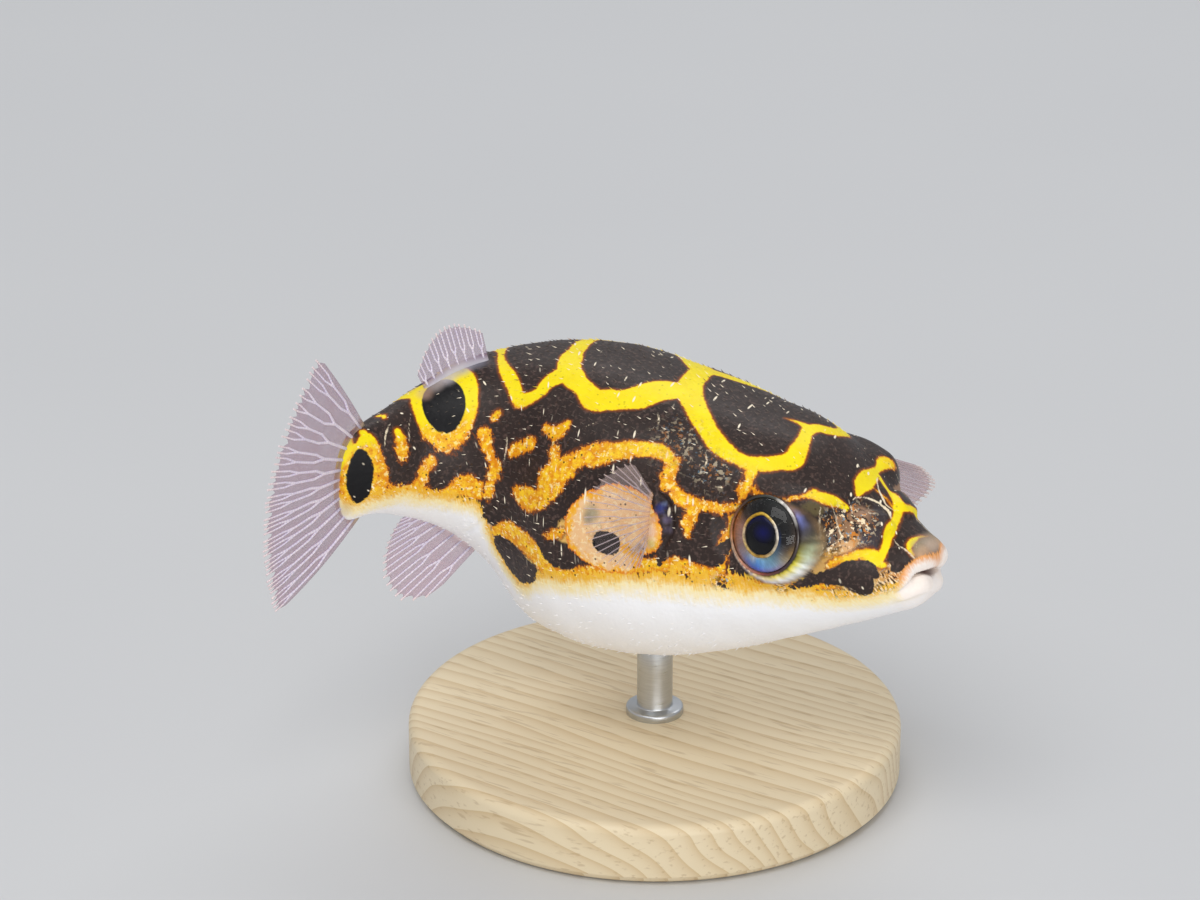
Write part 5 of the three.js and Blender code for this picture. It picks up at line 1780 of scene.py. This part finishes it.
# %% Prickles
prickle_finish, tree, shader, painted = hide_material("prickle_coat", Specular_IOR_Level=0.3)
# the prickles carry none of the painted glints of the hide
painted.inputs["Glint amount"].default_value = 0.0
shade = blend(tree, calc(tree, "MULTIPLY", field(tree, "tip"), 0.22), painted.outputs["Color"],
              paint(214, 196, 176))
shade = blend(tree, field(tree, "pale"), shade, paint(252, 238, 212))
wire(tree, shade, shader.inputs["Base Color"])
coat = settle(ground, PRICKLES, "prickles", Finish=prickle_finish, Seed=7)


def read(mesh, name):
    values = np.zeros(len(mesh.vertices), np.float32)
    mesh.attributes[name].data.foreach_get("value", values)
    return values


CORNERS = 5                 # four at the foot and the tip
PALE_SHARE = 0.2
PATCH_HALF = 0.0015         # half the width of a prickle's patch on the map for baking
count = len(coat.data.vertices) // CORNERS
place_x, place_a = (read(coat.data, name) for name in ("place_x", "place_a"))
height = np.tile(np.arange(CORNERS), count)
cones = np.array([v.co[:] for v in coat.data.vertices]).reshape(count, CORNERS, 3)
from_middle = np.linalg.norm(cones - cones.mean(1, keepdims=True), axis=-1)
tip_at = np.bincount(from_middle.argmax(1), minlength=CORNERS).argmax()
store(coat.data, "tip", (height == tip_at).astype(np.float32))
picked = np.random.default_rng(21).random(count)
on_white = read(coat.data, "belly").reshape(count, CORNERS)[:, 0] >= 0
lightness = np.where(picked < PALE_SHARE, 0.95, 0.0) * np.where(on_white, 0.2, 1)
store(coat.data, "pale", np.repeat(lightness, CORNERS))
for name in ("along_body", "UVMap"):
    if name in coat.data.attributes:
        coat.data.attributes.remove(coat.data.attributes[name])
corner = point_of_corners(coat.data)
root = on_map(place_x, place_a)[corner]
around_foot = np.delete(np.arange(CORNERS), tip_at)
patch = np.zeros((CORNERS, 2))
patch[around_foot] = np.array([(-1, -1), (1, -1), (1, 1), (-1, 1)]) * PATCH_HALF
for name, share in (("along_body", 0.0), ("OFBake", 1.0)):
    uv = np.clip(root + patch[height[corner]] * share, 0.0, 1.0)
    coat.data.uv_layers.new(name=name).data.foreach_set("uv", uv.astype(np.float32).ravel())
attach(coat, "root")
print(count, "prickles,", triangles(coat), "triangles")

# %% [markdown]
# ## Stand
# A museum's stand: a disc turned from pale ash on a lathe, with an eased edge, and a steel rod with a
# small collar that meets the belly. Both are turned profiles here too: rows of radius and height are
# spun round the upright axis.

# %% Stand
BASE = [
    (0.6, 0), (17.2, 0), (17.45, 0.04), (17.62, 0.2), (17.7, 0.42), (17.72, 0.5), (17.98, 0.58),
    (18.0, 0.66), (18.0, 3.78), (17.985, 3.95), (17.9, 4.16), (17.75, 4.34), (17.54, 4.45), (17.3, 4.5),
    (17.1, 4.5), (9, 4.5), (1.5, 4.5), (0.4, 4.5),
]
ROD = [
    (0.3, 1.8), (1.28, 1.8), (1.3, 1.83), (1.3, 4.3), (1.9, 4.32), (2.05, 4.4), (2.1, 4.5), (2.1, 4.92),
    (2.07, 5.0), (2.0, 5.05), (1.9, 5.08), (1.4, 5.1), (1.32, 5.13), (1.3, 5.2), (1.3, 8), (1.3, 11.5),
    (1.25, 11.6), (0.3, 11.6),
]


def lathe_piece(name, profile, around=160):
    """A lathe-turned piece; the profile runs from the underside's middle to the top's."""
    way = np.radians(np.arange(around) * 360 / around)
    rings = np.array([np.stack([r * np.cos(way), r * np.sin(way), np.full(around, h)], -1)
                      for r, h in profile])
    return mesh_object(name, *closed_by_points(rings))


ash, tree, shader = new_material("ash_wood", Specular_IOR_Level=0.35, Coat_Weight=0.12, Coat_Roughness=0.35)
here = object_place(tree)
drift = noise(tree, stretched(tree, here, (0.25, 1, 1)), 75, 2)
across = node(tree, "ShaderNodeSeparateXYZ", {0: here})
bands = calc(tree, "MULTIPLY_ADD", across.outputs["Z"], 420,
             calc(tree, "MULTIPLY", across.outputs["Y"], 760))
growth_rings = calc(tree, "FRACT", calc(tree, "MULTIPLY_ADD", drift, 7, bands))
pores = noise(tree, stretched(tree, here, (0.1, 1, 1)), 3200, 2)
wood = blend(tree, calc(tree, "POWER", growth_rings, 2.5), paint(228, 211, 178), paint(209, 184, 143))
wood = blend(tree, step(tree, pores, 0.58, 0.7, 0, 0.35), wood, paint(168, 138, 98))
wire(tree, wood, shader.inputs["Base Color"])
wire(tree, calc(tree, "MULTIPLY_ADD", pores, 0.25, 0.36), shader.inputs["Roughness"])
bump(tree, shader, pores, 0.25, 0.03)

steel, tree, shader = new_material("brushed_steel", Metallic=1.0)
here = object_place(tree)
brushed = noise(tree, stretched(tree, here, (1, 1, 14)), 700, 3)
wire(tree, blend(tree, brushed, paint(176, 180, 184), paint(212, 215, 218)), shader.inputs["Base Color"])
wire(tree, calc(tree, "MULTIPLY_ADD", brushed, 0.25, 0.2), shader.inputs["Roughness"])

for word, profile, finish, slot_name in (("stand_base", BASE, ash, "wood"),
                                         ("stand_rod", ROD, steel, "steel")):
    piece = lathe_piece(word + "_turned", profile)
    piece.data.materials.append(finish)
    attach(piece, "root")
    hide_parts(word)
    print(piece.name, triangles(piece), "triangles")
